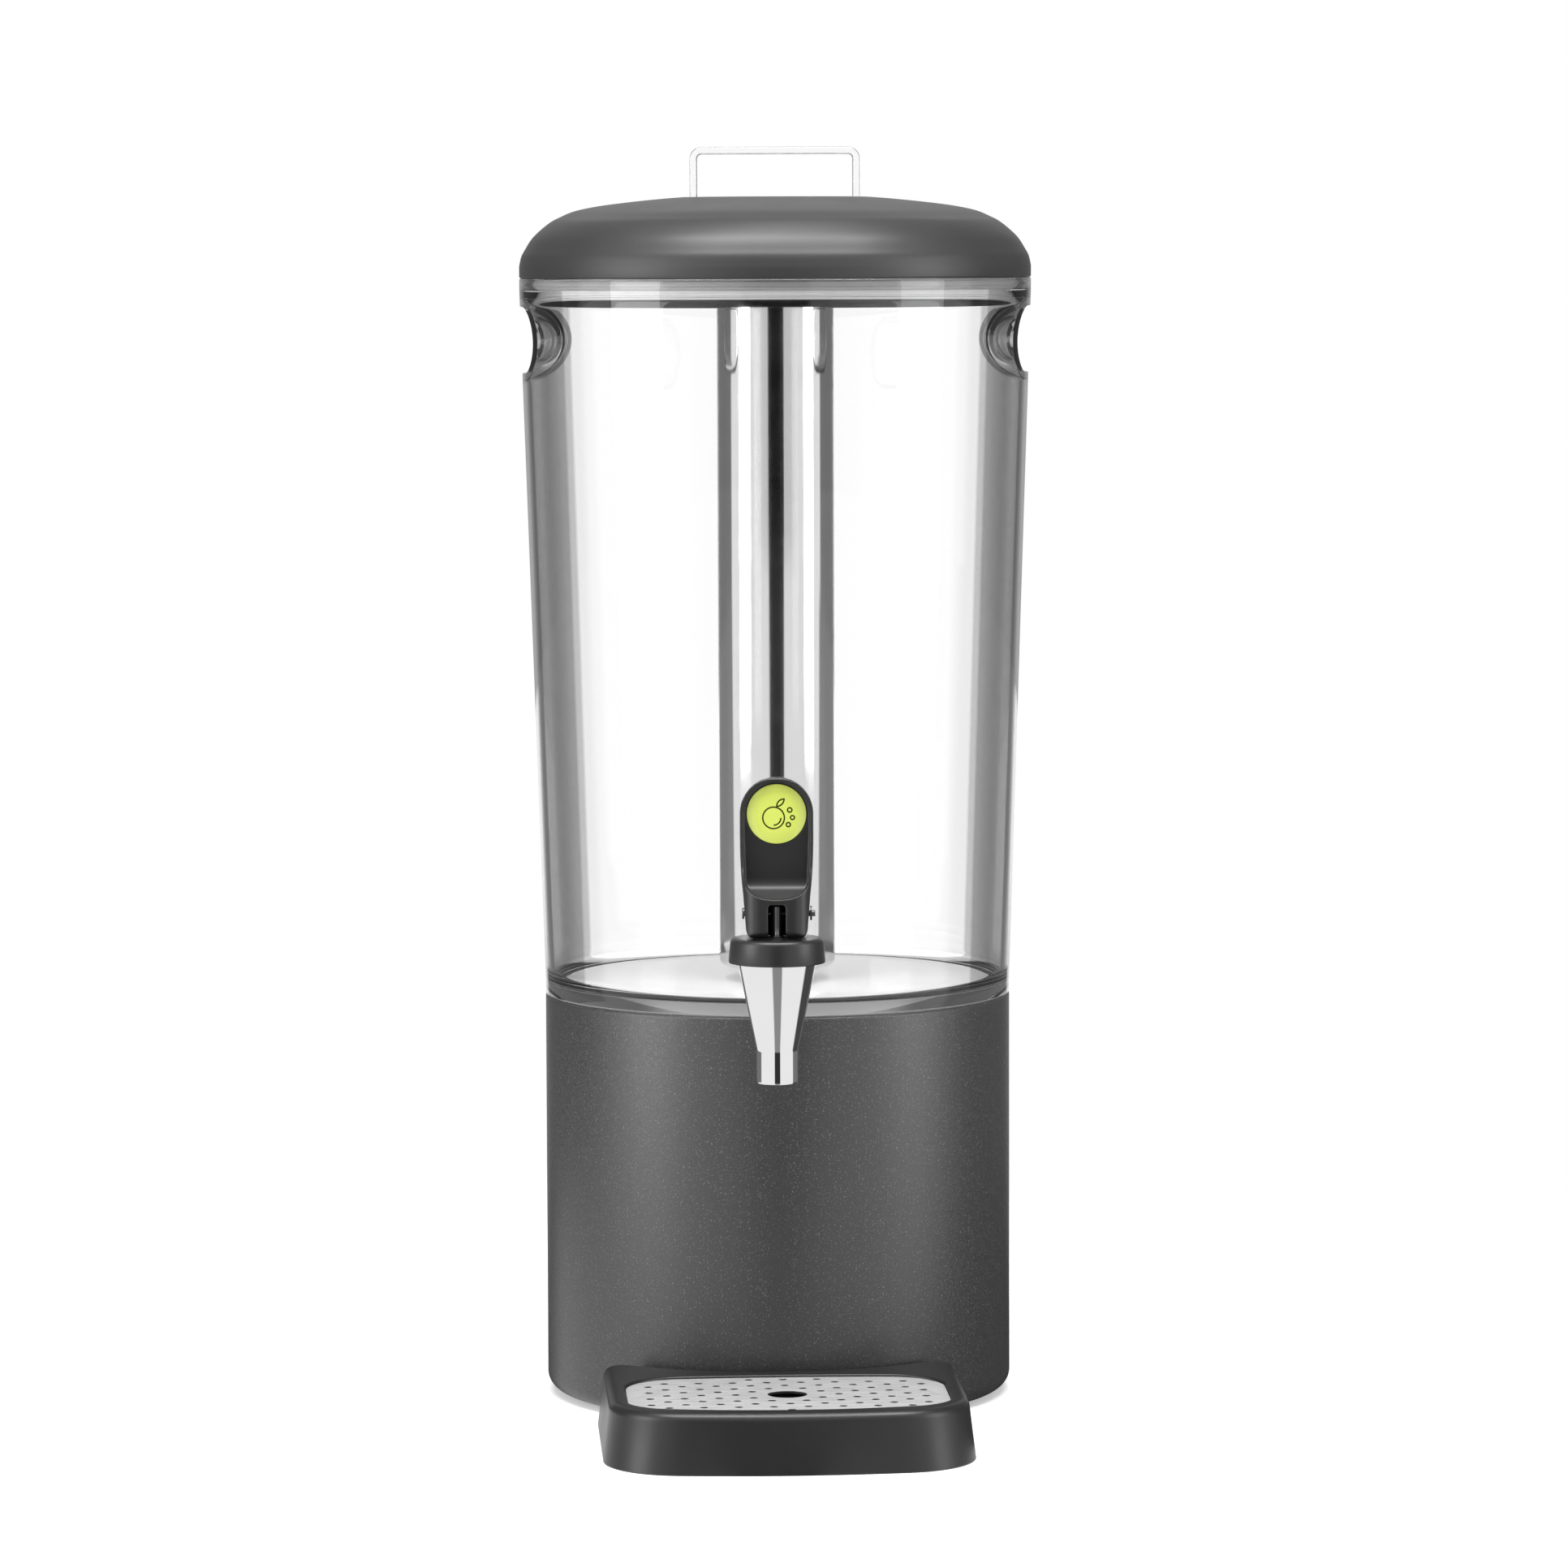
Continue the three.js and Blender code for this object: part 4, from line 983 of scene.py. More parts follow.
def make_stem():
    collar_top = STEM_COLLAR + STEM_COLLAR_THICKNESS
    stem = turned([
        (0, STEM_BOTTOM),
        (STEM_RADIUS, STEM_BOTTOM),
        (STEM_RADIUS, STEM_COLLAR),
        (STEM_COLLAR_RADIUS, STEM_COLLAR),
        (STEM_COLLAR_RADIUS, collar_top),
        (STEM_RADIUS, collar_top),
        (STEM_RADIUS, STEM_TOP - STEM_CHAMFER),
        (STEM_RADIUS - STEM_CHAMFER, STEM_TOP),
        (0, STEM_TOP),
    ], SMALL_SIDES)
    piece("valve_rod", at_tap(stem), "chrome", "valve", "chrome", "valve_stem")


# Lever
def curve_through(start, bend, end, steps=BEND_STEPS):
    """Points after start on a curve that bends towards a third point and ends at end."""
    shares = [i / steps for i in range(1, steps + 1)]
    return [
        tuple((1 - t)**2 * a + 2 * t * (1 - t) * b + t**2 * c for a, b, c in zip(start, bend, end))
        for t in shares
    ]


def mirrored(points):
    return [(-x, y) for x, y in reversed(points)]


def lever_side():
    front_angle = math.degrees(math.asin((LEVER_FRONT - HEEL_FORWARD) / HEEL_RADIUS))
    crown = CROWN_HEIGHT + LEVER_HALF
    shelf = (-LEVER_FRONT, SHELF_HEIGHT)
    shoulder = (-PADDLE_FRONT, SHOULDER_HEIGHT)
    back = (PADDLE_BACK, SHOULDER_HEIGHT)
    return [
        *arc(LEVER_REAR - LEVER_REAR_ROUND, LEVER_REAR_ROUND - HEEL_RADIUS, LEVER_REAR_ROUND,
             0, -90),
        *arc(-HEEL_FORWARD, 0, HEEL_RADIUS, -90, -90 - front_angle, steps=20),
        shelf,
        *curve_through(shelf, (-HEEL_FORWARD, SHELF_HEIGHT + HEEL_FORWARD), shoulder),
        *arc(-PADDLE_FRONT + PADDLE_ROUND, crown - PADDLE_ROUND, PADDLE_ROUND, 180, 90),
        *arc(-PADDLE_BACK - PADDLE_ROUND, crown - PADDLE_ROUND, PADDLE_ROUND, 90, 0),
        back,
        *curve_through(back, (STEM_RADIUS, BEND_HEIGHT + BACK_BEND), (LEVER_REAR, BEND_HEIGHT)),
    ]


def lever_front():
    sole = (SOLE_HALF, -HEEL_RADIUS)
    shelf = (SHELF_HALF, SHELF_HEIGHT)
    shoulder = (LEVER_HALF, SHOULDER_HEIGHT)
    half = [
        sole,
        *curve_through(sole, (FOOT_HALF, -HEEL_RADIUS), (FOOT_HALF, FOOT_HEIGHT)),
        shelf,
        *curve_through(shelf, (LEVER_HALF, SHOULDER_HEIGHT - LEVER_FRONT), shoulder),
        *arc(0, CROWN_HEIGHT, LEVER_HALF, 0, 90, steps=28),
    ]
    return half + mirrored(half[:-1])


def lever_plan():
    half = LEVER_HALF + OVERCUT
    x = SHELF_HALF - LEVER_CORNER
    y = LEVER_CORNER - LEVER_FRONT
    return [
        (half, LEVER_REAR),
        (-half, LEVER_REAR),
        (-half, y),
        *arc(-x, y, LEVER_CORNER, 180, 270, BEND_STEPS)[1:],
        *arc(x, y, LEVER_CORNER, 270, 360, BEND_STEPS)[:-1],
        (half, y),
    ]


def lever_scoop():
    half = LEVER_HALF - SCOOP_RIM
    shelf_half = SHELF_HALF - SCOOP_RIM / 2
    bottom = (0, LIP_HEIGHT)
    bend = (shelf_half, BEND_HEIGHT)
    right = [
        bottom,
        *curve_through(bottom, (shelf_half, LIP_HEIGHT), bend, steps=20),
        (half, SHOULDER_HEIGHT),
        *arc(0, CROWN_HEIGHT, half, 0, 90, steps=28),
    ]
    floor = SCOOP_DEPTH - PADDLE_FRONT
    top = CROWN_HEIGHT + LEVER_HALF + OVERCUT
    front = -LEVER_FRONT - OVERCUT
    start = (-HEEL_FORWARD, SHELF_HEIGHT + SCOOP_RIM)
    low_bend = (floor, SHELF_HEIGHT + SCOOP_RIM * 2)
    side = [
        (front, LIP_HEIGHT - SCOOP_RIM),
        (-LEVER_FRONT, LIP_HEIGHT - SCOOP_RIM / 2),
        start,
        *curve_through(start, low_bend, (floor, BEND_HEIGHT + SCOOP_RIM)),
        (floor, top),
        (front, top),
    ]
    face = front_prism(right + mirrored(right[1:-1]), front, floor + 1)
    return joined("INTERSECT", face, side_prism(side, -LEVER_HALF, LEVER_HALF))


def lever_slot():
    outline = [
        (-SLOT_HALF, -HEEL_RADIUS - OVERCUT),
        (SLOT_HALF, -HEEL_RADIUS - OVERCUT),
        *arc(SLOT_HALF - SLOT_ROUND, SLOT_REACH - SLOT_ROUND, SLOT_ROUND, 0, 90),
        *arc(SLOT_ROUND - SLOT_HALF, SLOT_REACH - SLOT_ROUND, SLOT_ROUND, 90, 180),
    ]
    return front_prism(outline, -LEVER_FRONT - OVERCUT, SLOT_REACH)


def make_lever():
    paddle = joined(
        "INTERSECT", side_prism(lever_side(), -LEVER_HALF, LEVER_HALF),
        front_prism(lever_front(), -LEVER_FRONT - OVERCUT, LEVER_REAR + OVERCUT),
        prism(lever_plan(), -HEEL_RADIUS - OVERCUT, CROWN_HEIGHT + LEVER_HALF + OVERCUT),
    )
    seat = rod_along_y(BADGE_RADIUS + PLAY, -LEVER_FRONT, BADGE_BACK, CROWN_HEIGHT)
    pin_hole = rod_along_x(PIN_RADIUS + PLAY, -LEVER_HALF - OVERCUT, LEVER_HALF + OVERCUT)
    paddle = joined("DIFFERENCE", paddle, lever_scoop(), lever_slot(), seat)
    paddle = joined("DIFFERENCE", paddle, pin_hole)
    paddle = at_tap(softened(paddle, LEVER_VOXEL, LEVER_SMOOTHING), PIN_LEVEL)
    piece(
        "tap_lever_paddle", paddle, "lever_black", "tap_lever", "black_plastic", "lever",
        sharp=math.pi,
    )

    badge = moved(turned([
        (0, BADGE_BACK),
        (BADGE_RADIUS, BADGE_BACK),
        *arc(BADGE_RADIUS - FINE_ROUND, BADGE_FRONT + BADGE_DOME + FINE_ROUND, FINE_ROUND,
             0, BADGE_EDGE_ANGLE, LIP_STEPS),
        *((BADGE_RADIUS * step, BADGE_FRONT + BADGE_DOME * step**2) for step in BADGE_STEPS),
        (0, BADGE_FRONT),
    ]), FROM_FRONT)
    badge = at_tap(badge, PIN_LEVEL + CROWN_HEIGHT)
    piece("lever_disc", badge, "lime_enamel", "tap_lever", "lime_badge", "lever_badge")

    pin = turned([
        (0, PIN_LEFT),
        *low_edge(PIN_HEAD_RADIUS, PIN_LEFT, FINE_ROUND, LIP_STEPS),
        (PIN_HEAD_RADIUS, PIN_LEFT + PIN_HEAD),
        (PIN_RADIUS, PIN_LEFT + PIN_HEAD),
        *high_edge(PIN_RADIUS, PIN_RIGHT, HAIR_ROUND, EDGE_STEPS),
        (0, PIN_RIGHT),
    ], SMALL_SIDES)
    pin = at_tap(moved(pin, FROM_SIDE), PIN_LEVEL)
    piece("cross_pin", pin, "dark_steel", "tap_lever", "chrome", "lever_pin")


# Lid
def dome_line(inset):
    """The lid's outline from its edge towards its crown, as far as the recess in its middle."""
    shares = list(zip(DOME_RADIUS_SHARES, DOME_RISE_SHARES))
    radius = RIM_RADIUS - inset
    places = [(r * radius, LID_EDGE + z * (DOME_RISE - inset)) for r, z in shares]
    end = RECESS_RADIUS + RECESS_ROUND + BRIM_MARGIN
    return [point for point in smooth_line(places, ROUND_STEPS) if point[0] > end]


def make_lid():
    outside = dome_line(0)
    inside = dome_line(LID_WALL)
    brim = outside[-1][1]
    lip = RECESS_RADIUS + RECESS_ROUND
    cup = RECESS_RADIUS + LID_WALL
    shell = turned([
        (0, RECESS_FLOOR),
        *low_edge(RECESS_RADIUS, RECESS_FLOOR, 1, LIP_STEPS),
        *arc(lip, brim - RECESS_ROUND + BRIM_RISE, RECESS_ROUND, 180, BRIM_ANGLE, ROUND_STEPS),
        *reversed(outside),
        *arc(RIM_RADIUS - EDGE_ROUND, CONTAINER_TOP + EDGE_ROUND, EDGE_ROUND, 0, -90, LIP_STEPS),
        (SKIRT_RADIUS, CONTAINER_TOP),
        (SKIRT_RADIUS, SEAL_TOP + PLAY),
        (GROOVE_RADIUS, SEAL_TOP + PLAY),
        (GROOVE_RADIUS, SEAL_BOTTOM - PLAY),
        (SKIRT_RADIUS, SEAL_BOTTOM - PLAY),
        *reversed(low_edge(SKIRT_RADIUS, SKIRT_BOTTOM, HAIR_ROUND, EDGE_STEPS)),
        (SKIRT_BORE, SKIRT_BOTTOM),
        (SKIRT_BORE, CONTAINER_TOP + LID_WALL),
        (RIM_RADIUS - LID_WALL, CONTAINER_TOP + LID_WALL),
        *inside,
        (cup, inside[-1][1]),
        (cup, RECESS_UNDER),
        (BOSS_RADIUS, RECESS_UNDER),
        (BOSS_RADIUS, BOSS_BOTTOM),
        (BOSS_BORE, BOSS_BOTTOM),
        (BOSS_BORE, RECESS_UNDER),
        (0, RECESS_UNDER),
    ])
    made = piece("lid_dome", shell, "lid_black", "lid", "black_plastic", "lid_shell")
    made.data.materials.append(PAINTS["silicone"])
    for face, reach, height in face_places(made):
        if reach > SKIRT_BORE + EDGE_ROUND / 2 and height < CONTAINER_TOP:
            face.material_index = 1

    rib = (SEAL_TOP - SEAL_BOTTOM) / SEAL_RIBS / 2
    ribs = []
    for index in range(SEAL_RIBS):
        centre = SEAL_BOTTOM + rib * (2 * index + 1)
        ribs += arc(SEAL_RADIUS - RIB_RADIUS, centre, RIB_RADIUS, -90, 90, ROUND_STEPS)
    seal = turned([
        (SEAL_BORE, SEAL_BOTTOM),
        (SEAL_RADIUS - RIB_DEPTH, SEAL_BOTTOM),
        *ribs,
        (SEAL_RADIUS - RIB_DEPTH, SEAL_TOP),
        (SEAL_BORE, SEAL_TOP),
    ])
    piece("lid_seal_ring", seal, "silicone", "lid", "silicone", "lid_seal")


def make_handle():
    inner_half = HANDLE_HALF - HANDLE_THICKNESS
    foot_end = inner_half - HANDLE_FOOT
    inner_round = HANDLE_ROUND - HANDLE_THICKNESS
    floor = RECESS_FLOOR
    right = [
        (foot_end, floor + HANDLE_THICKNESS),
        (foot_end, floor),
        *low_edge(HANDLE_HALF, floor, HANDLE_ROUND, steps=10),
        *high_edge(HANDLE_HALF, HANDLE_TOP, HANDLE_ROUND, steps=10),
    ]
    inside = [
        *arc(inner_half - inner_round, HANDLE_TOP - HANDLE_ROUND, inner_round, 90, 0, ROUND_STEPS),
        *arc(inner_half - inner_round, floor + HANDLE_ROUND, inner_round, 0, -90, ROUND_STEPS),
    ]
    strip = front_prism([*right, *mirrored(right), *mirrored(inside), *inside],
                        -HANDLE_DEPTH / 2, HANDLE_DEPTH / 2)
    rims = [edge for edge in strip.edges if edge.calc_face_angle(0) > SHARP_ANGLE]
    bmesh.ops.bevel(
        strip, geom=rims, offset=HANDLE_EDGE, affect="EDGES", segments=EDGE_STEPS,
        profile=0.5, material=-1,
    )
    holes = [
        moved(disc(SCREW_RADIUS + PLAY, floor - 1, floor + HANDLE_THICKNESS + 1),
              Matrix.Translation((side * SCREW_PLACE, 0, 0)))
        for side in (-1, 1)
    ]
    strip = joined("DIFFERENCE", strip, *holes)
    made = piece("carry_handle", strip, "handle_clear", "lid", "clear_plastic", "lid_handle")
    made.visible_shadow = False

    for word, side in (("left", -1), ("right", 1)):
        screw = turned([
            (0, SCREW_TIP),
            (SCREW_RADIUS, SCREW_TIP),
            (SCREW_RADIUS, SCREW_SEAT),
            (SCREW_HEAD_RADIUS, SCREW_SEAT),
            *high_edge(SCREW_HEAD_RADIUS, SCREW_SEAT + SCREW_HEAD, SCREW_HEAD_ROUND),
            (0, SCREW_SEAT + SCREW_HEAD),
        ], SMALL_SIDES)
        socket_floor = SCREW_SEAT + SCREW_HEAD / 3
        socket = disc(SCREW_SOCKET, socket_floor, SCREW_SEAT + SCREW_HEAD * 2, sides=6)
        screw = joined("DIFFERENCE", screw, socket)
        screw = moved(screw, Matrix.Translation((side * SCREW_PLACE, 0, 0)))
        piece(f"handle_bolt_{word}", screw, "steel", "lid", "satin_steel", f"handle_screw_{word}")


# Ice tube
def make_ice_tube():
    foot = TUBE_RADIUS - TUBE_FOOT_ROUND
    bore = TUBE_RADIUS - TUBE_WALL
    shell = turned([
        (0, TUBE_BOTTOM),
        *low_edge(TUBE_RADIUS, TUBE_BOTTOM, TUBE_FOOT_ROUND, ROUND_STEPS),
        (TUBE_RADIUS, TUBE_TOP),
        (bore, TUBE_TOP),
        *arc(foot, TUBE_BOTTOM + TUBE_FOOT_ROUND, TUBE_FOOT_ROUND - TUBE_WALL, 0, -90),
        (0, TUBE_BOTTOM + TUBE_WALL),
    ])
    piece("cold_tube", shell, "tube_polish", "lid", "polished_steel", "ice_tube")
    collar = turned([
        (COLLAR_BORE, TUBE_TOP - COLLAR_DEPTH),
        (COLLAR_RADIUS, TUBE_TOP - COLLAR_DEPTH),
        (COLLAR_RADIUS, TUBE_TOP),
        (TUBE_RADIUS, TUBE_TOP),
        *high_edge(TUBE_RADIUS, COLLAR_TOP, FINE_ROUND, EDGE_STEPS),
        (COLLAR_BORE, COLLAR_TOP),
    ])
    piece("cold_tube_collar", collar, "lid_black", "lid", "black_plastic", "tube_collar")


# Drip tray
def round_end(half, reach, radius, corner):
    """One end of a plan outline, right to left: a wide arc that runs into two round corners."""
    centre = reach - radius
    corner_x = half - corner
    rise = math.sqrt((radius - corner)**2 - corner_x**2)
    turn = math.degrees(math.atan2(rise, corner_x))
    return [
        *arc(corner_x, centre + rise, corner, 0, turn, steps=16),
        *arc(0, centre, radius, turn, 180 - turn, steps=24)[1:-1],
        *arc(-corner_x, centre + rise, corner, 180 - turn, 180, steps=16),
    ]


def front_end(half, reach, radius, corner):
    """The same end turned to face forward."""
    return [(-x, -y) for x, y in round_end(half, reach, radius, corner)]


def tray_outline(inset, taper):
    side = TRAY_SIDE - taper - inset
    back = TRAY_BACK + inset
    ear = TRAY_EAR - inset
    ear_x = side - ear
    ear_y = -math.sqrt((back + ear)**2 - ear_x**2)
    ear_angle = math.degrees(math.atan2(-ear_y, ear_x))
    less = taper + inset
    return [
        *arc(ear_x, ear_y, ear, 0, 180 - ear_angle, BEND_STEPS),
        *arc(0, 0, back, -ear_angle, ear_angle - 180, steps=36)[1:-1],
        *arc(-ear_x, ear_y, ear, ear_angle, 180, BEND_STEPS),
        *front_end(side, TRAY_FRONT - less, TRAY_FRONT_RADIUS - less, TRAY_CORNER - inset),
    ]


def grille_outline(outset, forward=GRILLE_FORWARD):
    half = GRILLE_HALF_WIDTH + outset
    reach = GRILLE_HALF_DEPTH + outset
    back = round_end(half, reach, GRILLE_BACK_RADIUS + outset, GRILLE_BACK_CORNER + outset)
    front = front_end(half, reach, GRILLE_FRONT_RADIUS + outset, GRILLE_FRONT_CORNER + outset)
    return [(x, y - forward) for x, y in back + front]


def make_tray():
    round_start = TRAY_TOP - TRAY_ROUND
    levels = [
        (grille_outline(TRAY_WALL - 1), TUB_BOTTOM),
        (grille_outline(TRAY_WALL), TUB_BOTTOM + 1),
        (grille_outline(TRAY_WALL), TRAY_TOP - TRAY_WALL),
        (tray_outline(TRAY_WALL, TRAY_TAPER), TRAY_TOP - TRAY_WALL),
        (tray_outline(TRAY_WALL, 0), 0),
        (tray_outline(FINE_ROUND, 0), 0),
        (tray_outline(0, 0), FINE_ROUND),
        (tray_outline(0, TRAY_TAPER / 2), round_start / 2),
    ]
    for inset, rise in arc(0, 0, TRAY_ROUND, 0, 90, steps=10):
        levels.append((tray_outline(TRAY_ROUND - inset, TRAY_TAPER), round_start + rise))
    for inset, rise in arc(0, 0, WELL_ROUND, 90, 0, steps=5):
        outset = WELL_GAP + WELL_ROUND - inset
        levels.append((grille_outline(outset), TRAY_TOP - WELL_ROUND + rise))
    levels += [
        (grille_outline(WELL_GAP), LEDGE_HEIGHT),
        (grille_outline(-BASIN_MARGIN + SOFT_ROUND), LEDGE_HEIGHT),
        (grille_outline(-BASIN_MARGIN), LEDGE_HEIGHT - SOFT_ROUND),
        (grille_outline(-BASIN_MARGIN), BASIN_FLOOR + BASIN_ROUND),
        (grille_outline(-BASIN_MARGIN - BASIN_CHAMFER), BASIN_FLOOR + BASIN_CHAMFER),
        (grille_outline(-BASIN_MARGIN - BASIN_ROUND), BASIN_FLOOR),
    ]
    tray = moved(skinned(levels), TRAY_PLACE)
    piece("drip_tray_body", tray, "tray_black", "tray", "black_plastic", "tray_body")


def lies_inside(x, y, outline):
    """Whether a place lies inside an outline: a line from it crosses an odd number of edges."""
    crossings = [
        x < ax + (y - ay) / (by - ay) * (bx - ax)
        for (ax, ay), (bx, by) in zip(outline, outline[1:] + outline[:1])
        if (ay > y) != (by > y)
    ]
    return sum(crossings) % 2 == 1


def hole_places():
    """Middles of the grille's holes: columns half a pitch apart, each shifted against the next."""
    limit = grille_outline(-HOLE_MARGIN, 0)
    columns = math.floor(GRILLE_HALF_WIDTH * 2 / HOLE_PITCH)
    rows = math.floor(GRILLE_HALF_DEPTH / HOLE_PITCH)
    places = []
    for column in range(-columns, columns + 1):
        shift = 0 if column % 2 else HOLE_PITCH / 2
        for row in range(-rows - 1, rows + 1):
            x = column * HOLE_PITCH / 2
            y = row * HOLE_PITCH + shift
            if lies_inside(x, y, limit) and math.hypot(x, y) > DRAIN_RADIUS + HOLE_MARGIN / 2:
                places.append((x, y - GRILLE_FORWARD))
    return places


def make_grille():
    flat = bpy.data.curves.new("grille_plan", "CURVE")
    flat.dimensions = "2D"
    flat.fill_mode = "BOTH"
    flat.extrude = (GRILLE_THICKNESS / 2 - GRILLE_EDGE) * MM
    flat.bevel_depth = GRILLE_EDGE * MM
    flat.bevel_resolution = 2
    flat.offset = -GRILLE_EDGE * MM
    drain = arc(0, -GRILLE_FORWARD, DRAIN_RADIUS, 0, 360, DRAIN_SIDES)[1:]
    outlines = [grille_outline(0), drain]
    outlines += [arc(x, y, HOLE_RADIUS, 0, 360, HOLE_SIDES)[1:] for x, y in hole_places()]
    for outline in outlines:
        spline = flat.splines.new("POLY")
        spline.points.add(len(outline) - 1)
        for point, (x, y) in zip(spline.points, outline):
            point.co = (x * MM, y * MM, 0, 1)
        spline.use_cyclic_u = True
    plan = placed("grille_plan", flat)
    plate = bmesh.new()
    plate.from_mesh(plan.to_mesh())
    plan.to_mesh_clear()
    bpy.data.objects.remove(plan)
    bmesh.ops.remove_doubles(plate, verts=plate.verts, dist=MERGE * MM)
    bmesh.ops.scale(plate, vec=(1 / MM, 1 / MM, 1 / MM), verts=plate.verts)
    middle = GRILLE_BOTTOM + GRILLE_THICKNESS / 2
    bmesh.ops.translate(plate, vec=(0, 0, middle), verts=plate.verts)
    plate = moved(plate, TRAY_PLACE)
    piece("drip_grille", plate, "grille_satin", "grille", "satin_steel", "tray_grille", sharp=0.6)


# Studio. Places are in metres, angles in degrees and light in shares of white. Azimuth 0 lies in
# front of the dispenser, and 90 at its right. A fade is a start, an end and the levels there.
CAMERA_DISTANCE = 2.8139
CAMERA_HEIGHT = 0.495
CAMERA_SIDE = 0.0031
CAMERA_PITCH = math.radians(4.7254)
CAMERA_ROLL = math.radians(-0.194)
CAMERA_LENS = 150.44
CAMERA_SIGHT = 50
SENSOR_WIDTH = 36
AIM_HEIGHT = 0.28
AMBIENT = 0.5
GAP_LEFT = (-17, -12)
GAP_RIGHT = (14, 18)
GAP_TOP_FADE = (0.35, 0.55, 1, 0)
GAP_LEVEL = 0.015
LEFT_FADE = (-44, -16, 1, 0.72)
RIGHT_FADE = (24, 50, 0, 0.28)
REAR_FADE = (96, 101, 1, 0.15)
BACK_FADE = (154, 164, 0, 0.3)
FLOOR_RADIUS = 4
FLOOR_SIDES = 96
FLOOR_VEIL = 0.38
FLOOR_OPENS = (0.28, 0.75)
FLOOR_GAP_FADE = (0.45, 0.95, 0.3, 0.035)
FLOOR_TURN = (0.6, 0.9)
FLOOR_REAR_RIGHT = (92, 102)
FLOOR_REAR_LEFT = (-146, -104)
FLOOR_REAR_SOFTNESS = 8
FLOOR_REAR_END = (156, 164, 1, 0)
FLOOR_REAR_LEVELS = (0.07, 0.2)

# Lamps: name, azimuth, elevation, distance, width, height and power in watts
LAMPS = (
    ("left_panel", -64, 8, 2.0, 0.9, 1.5, 17),
    ("right_panel", 68, 8, 2.0, 0.8, 1.5, 11),
    ("top_panel", 0, 76, 1.7, 1.7, 0.8, 42),
    ("back_panel", 180, 40, 2.2, 1.6, 0.8, 1.8),
)


def make_camera():
    data = bpy.data.cameras.new("camera")
    data.lens = CAMERA_LENS
    data.sensor_width = SENSOR_WIDTH
    data.clip_end = CAMERA_SIGHT
    camera = placed("camera", data)
    camera.location = (CAMERA_SIDE, -CAMERA_DISTANCE, CAMERA_HEIGHT)
    tilt = Matrix.Rotation(math.pi / 2 - CAMERA_PITCH, 4, "X")
    camera.rotation_euler = (tilt @ Matrix.Rotation(CAMERA_ROLL, 4, "Z")).to_euler()
    bpy.context.scene.camera = camera


def make_lamp(name, azimuth, elevation, distance, width, height, power):
    """A soft panel lamp aimed at the dispenser."""
    data = bpy.data.lights.new(name, "AREA")
    data.shape = "RECTANGLE"
    data.size = width
    data.size_y = height
    data.energy = power
    lamp = placed(name, data)
    turn = math.radians(azimuth)
    rise = math.radians(elevation)
    level = math.cos(rise)
    away = Vector((math.sin(turn) * level, -math.cos(turn) * level, math.sin(rise)))
    lamp.location = Vector((0, 0, AIM_HEIGHT)) + away * distance
    lamp.rotation_euler = away.to_track_quat("Z", "Y").to_euler()


def ray_kinds(paint):
    """Whether a ray looks at the studio, also through clear plastic, and whether it is mirrored."""
    straight = paint.node("ShaderNodeLightPath", output="Is Camera Ray")
    through = paint.node("ShaderNodeLightPath", output="Is Transmission Ray")
    bounces = paint.node("ShaderNodeLightPath", output="Glossy Depth")
    return straight.most(through), bounces > 0.5


def front_gap(paint, azimuth):
    """1 in the dark gap between the panels in front, and 0 beside it."""
    return paint.band(azimuth, *GAP_LEFT) - paint.band(azimuth, *GAP_RIGHT)


def make_world():
    """White behind the dispenser. What polished pieces mirror is a studio: a dark gap in front,
    bright panels at both sides and a grey room behind them."""
    world = bpy.data.worlds.new("studio")
    world.use_nodes = True
    bpy.context.scene.world = world
    paint = Paint(world.node_tree)
    looked_at, mirrored_ray = ray_kinds(paint)
    x, y, z = paint.axes(paint.node("ShaderNodeTexCoord", output="Generated"))
    azimuth = x.math("ARCTAN2", y * -1) * math.degrees(1)
    gap = front_gap(paint, azimuth) * paint.band(z, *GAP_TOP_FADE)
    sides = paint.band(azimuth, *LEFT_FADE) + paint.band(azimuth, *RIGHT_FADE)
    rear = paint.band(abs(azimuth), *REAR_FADE)
    back = paint.band(abs(azimuth), *BACK_FADE)
    studio = sides * rear * paint.band(gap, 0, 1, 1, GAP_LEVEL) + back
    level = paint.band(looked_at, 0, 1, AMBIENT, 1)
    level = level * (1 - mirrored_ray) + studio * mirrored_ray
    background = paint.tree.nodes["Background"]
    paint.feed(background.inputs["Strength"], level)
    background.inputs["Color"].default_value = grey(1)


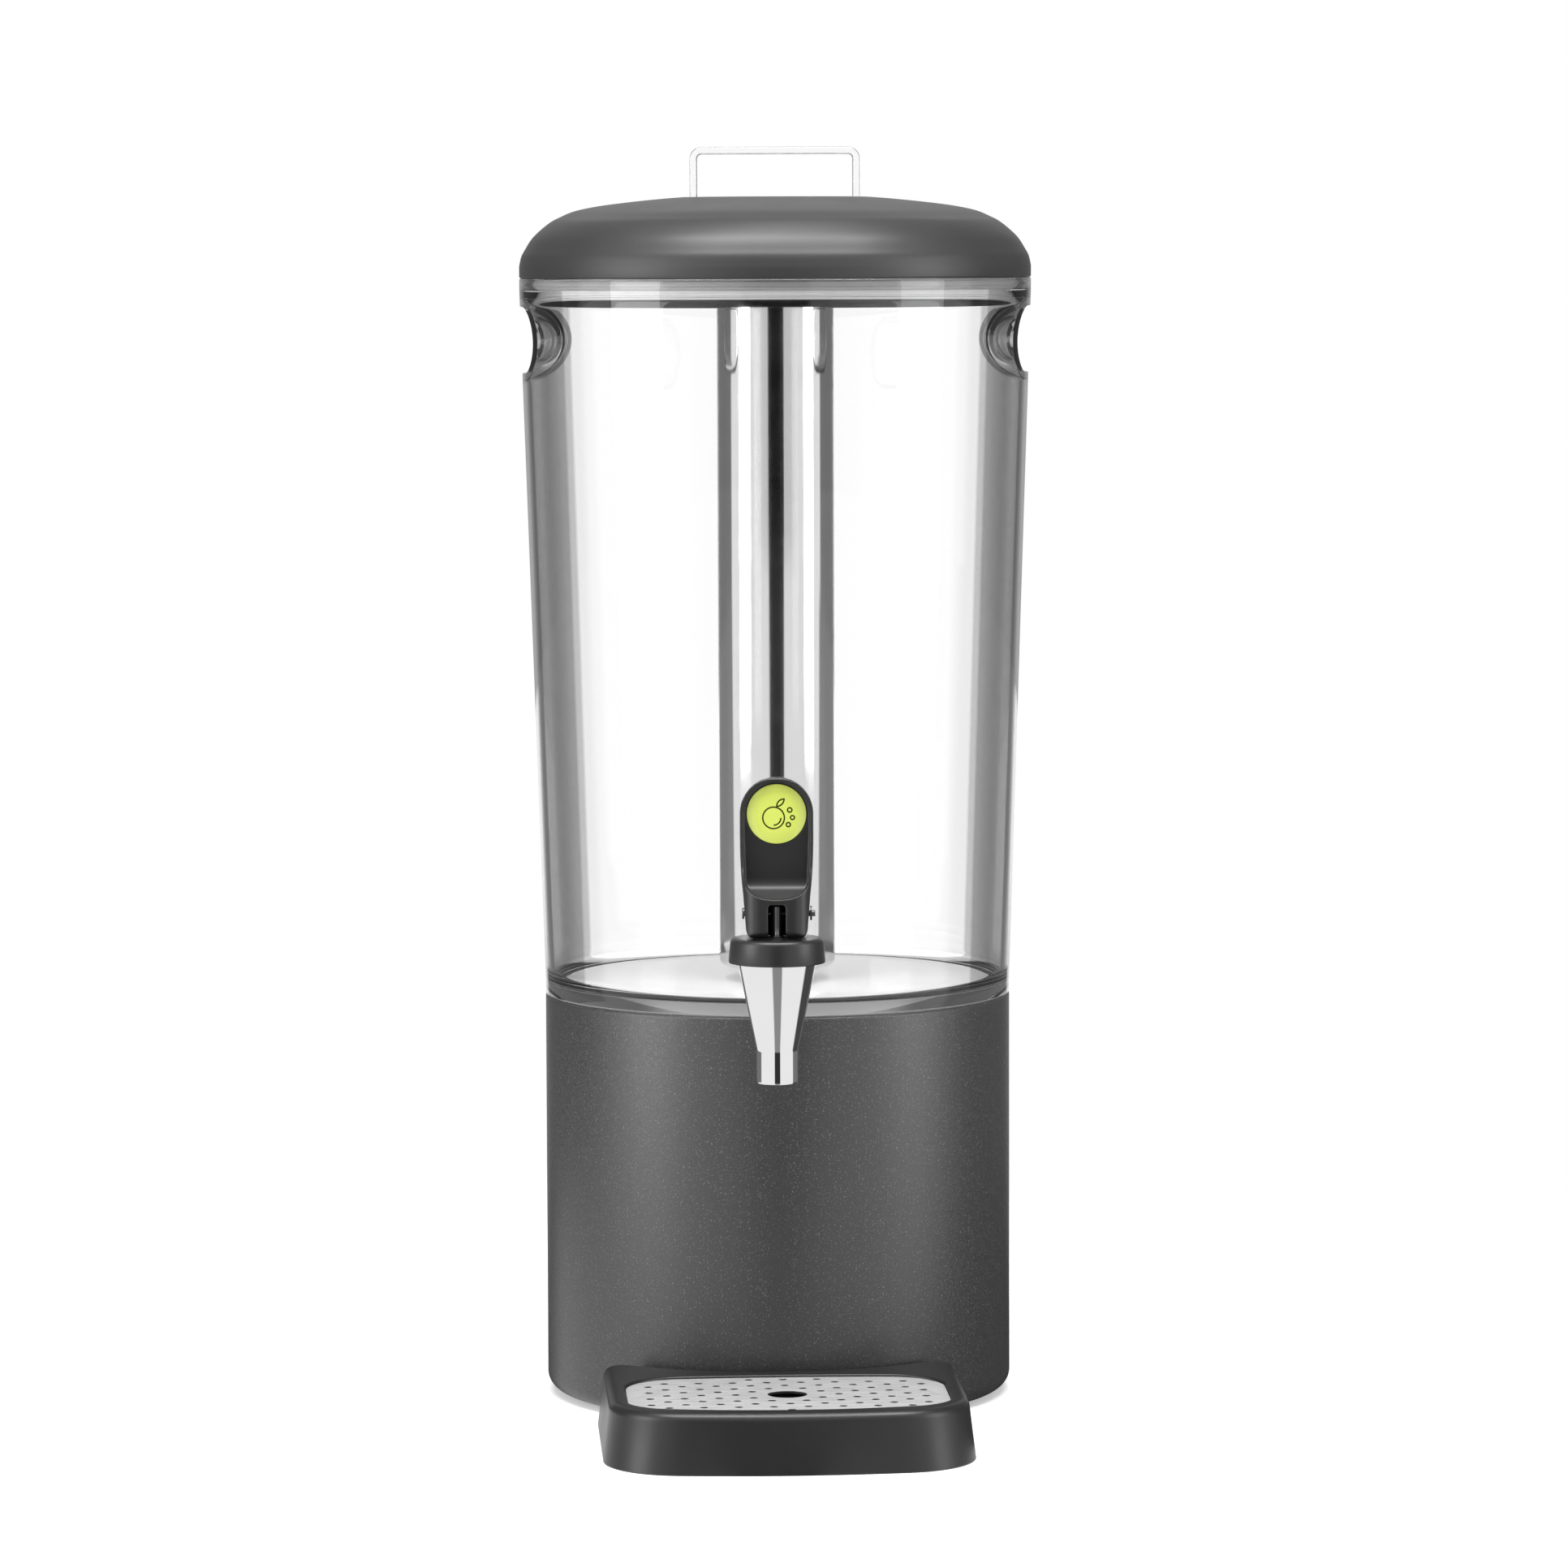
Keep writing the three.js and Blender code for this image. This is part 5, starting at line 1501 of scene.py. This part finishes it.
def make_floor():
    """A pale floor that keeps the dispenser's soft shadow, and is plain white further away. What
    polished pieces mirror in it is the studio round the tap, darker where the panels end."""
    mesh = bmesh.new()
    bmesh.ops.create_circle(mesh, cap_ends=True, segments=FLOOR_SIDES, radius=FLOOR_RADIUS)
    floor = as_object(mesh, "floor")
    material = bpy.data.materials.new("floor_white")
    material.use_nodes = True
    tree = material.node_tree
    tree.nodes.clear()
    paint = Paint(tree)
    seen, mirrored_ray = ray_kinds(paint)
    x, y, _ = paint.axes(paint.place())
    reach = paint.length(paint.place())
    lit = paint.node("ShaderNodeBsdfDiffuse", values={"Color": grey(0.8)})
    near = paint.node("ShaderNodeAddShader", values=[lit, paint.glow(FLOOR_VEIL)])
    open_floor = paint.blend(paint.band(reach, *FLOOR_OPENS), near, paint.glow(1))
    looked_at = paint.blend(seen, lit, open_floor)

    azimuth = x.math("ARCTAN2", y * -1 - TAP_REACH * MM) * math.degrees(1)
    gap = front_gap(paint, azimuth)
    left = paint.band(reach, *FLOOR_TURN, *FLOOR_REAR_LEFT)
    rear = paint.band(azimuth, left, left + FLOOR_REAR_SOFTNESS, 1, 0)
    rear = rear + paint.band(azimuth, *FLOOR_REAR_RIGHT)
    rear = rear.least(paint.band(abs(azimuth), *FLOOR_REAR_END))
    rear_level = paint.band(reach, *FLOOR_TURN, *FLOOR_REAR_LEVELS)
    front_level = 1 - gap + gap * paint.band(reach, *FLOOR_GAP_FADE)
    mirrored_floor = paint.glow(front_level * paint.band(rear, 0, 1, 1, rear_level))
    surface = paint.blend(mirrored_ray, looked_at, mirrored_floor)
    output = tree.nodes.new("ShaderNodeOutputMaterial")
    tree.links.new(surface.output, output.inputs["Surface"])
    floor.data.materials.append(material)


make_camera()
for lamp_values in LAMPS:
    make_lamp(*lamp_values)
make_world()
make_floor()
bpy.context.scene.view_settings.view_transform = "Standard"

make_base()
make_container()
make_spout()
make_tap_seals()
make_bonnet()
make_stem()
make_lever()
make_lid()
make_handle()
make_ice_tube()
make_tray()
make_grille()
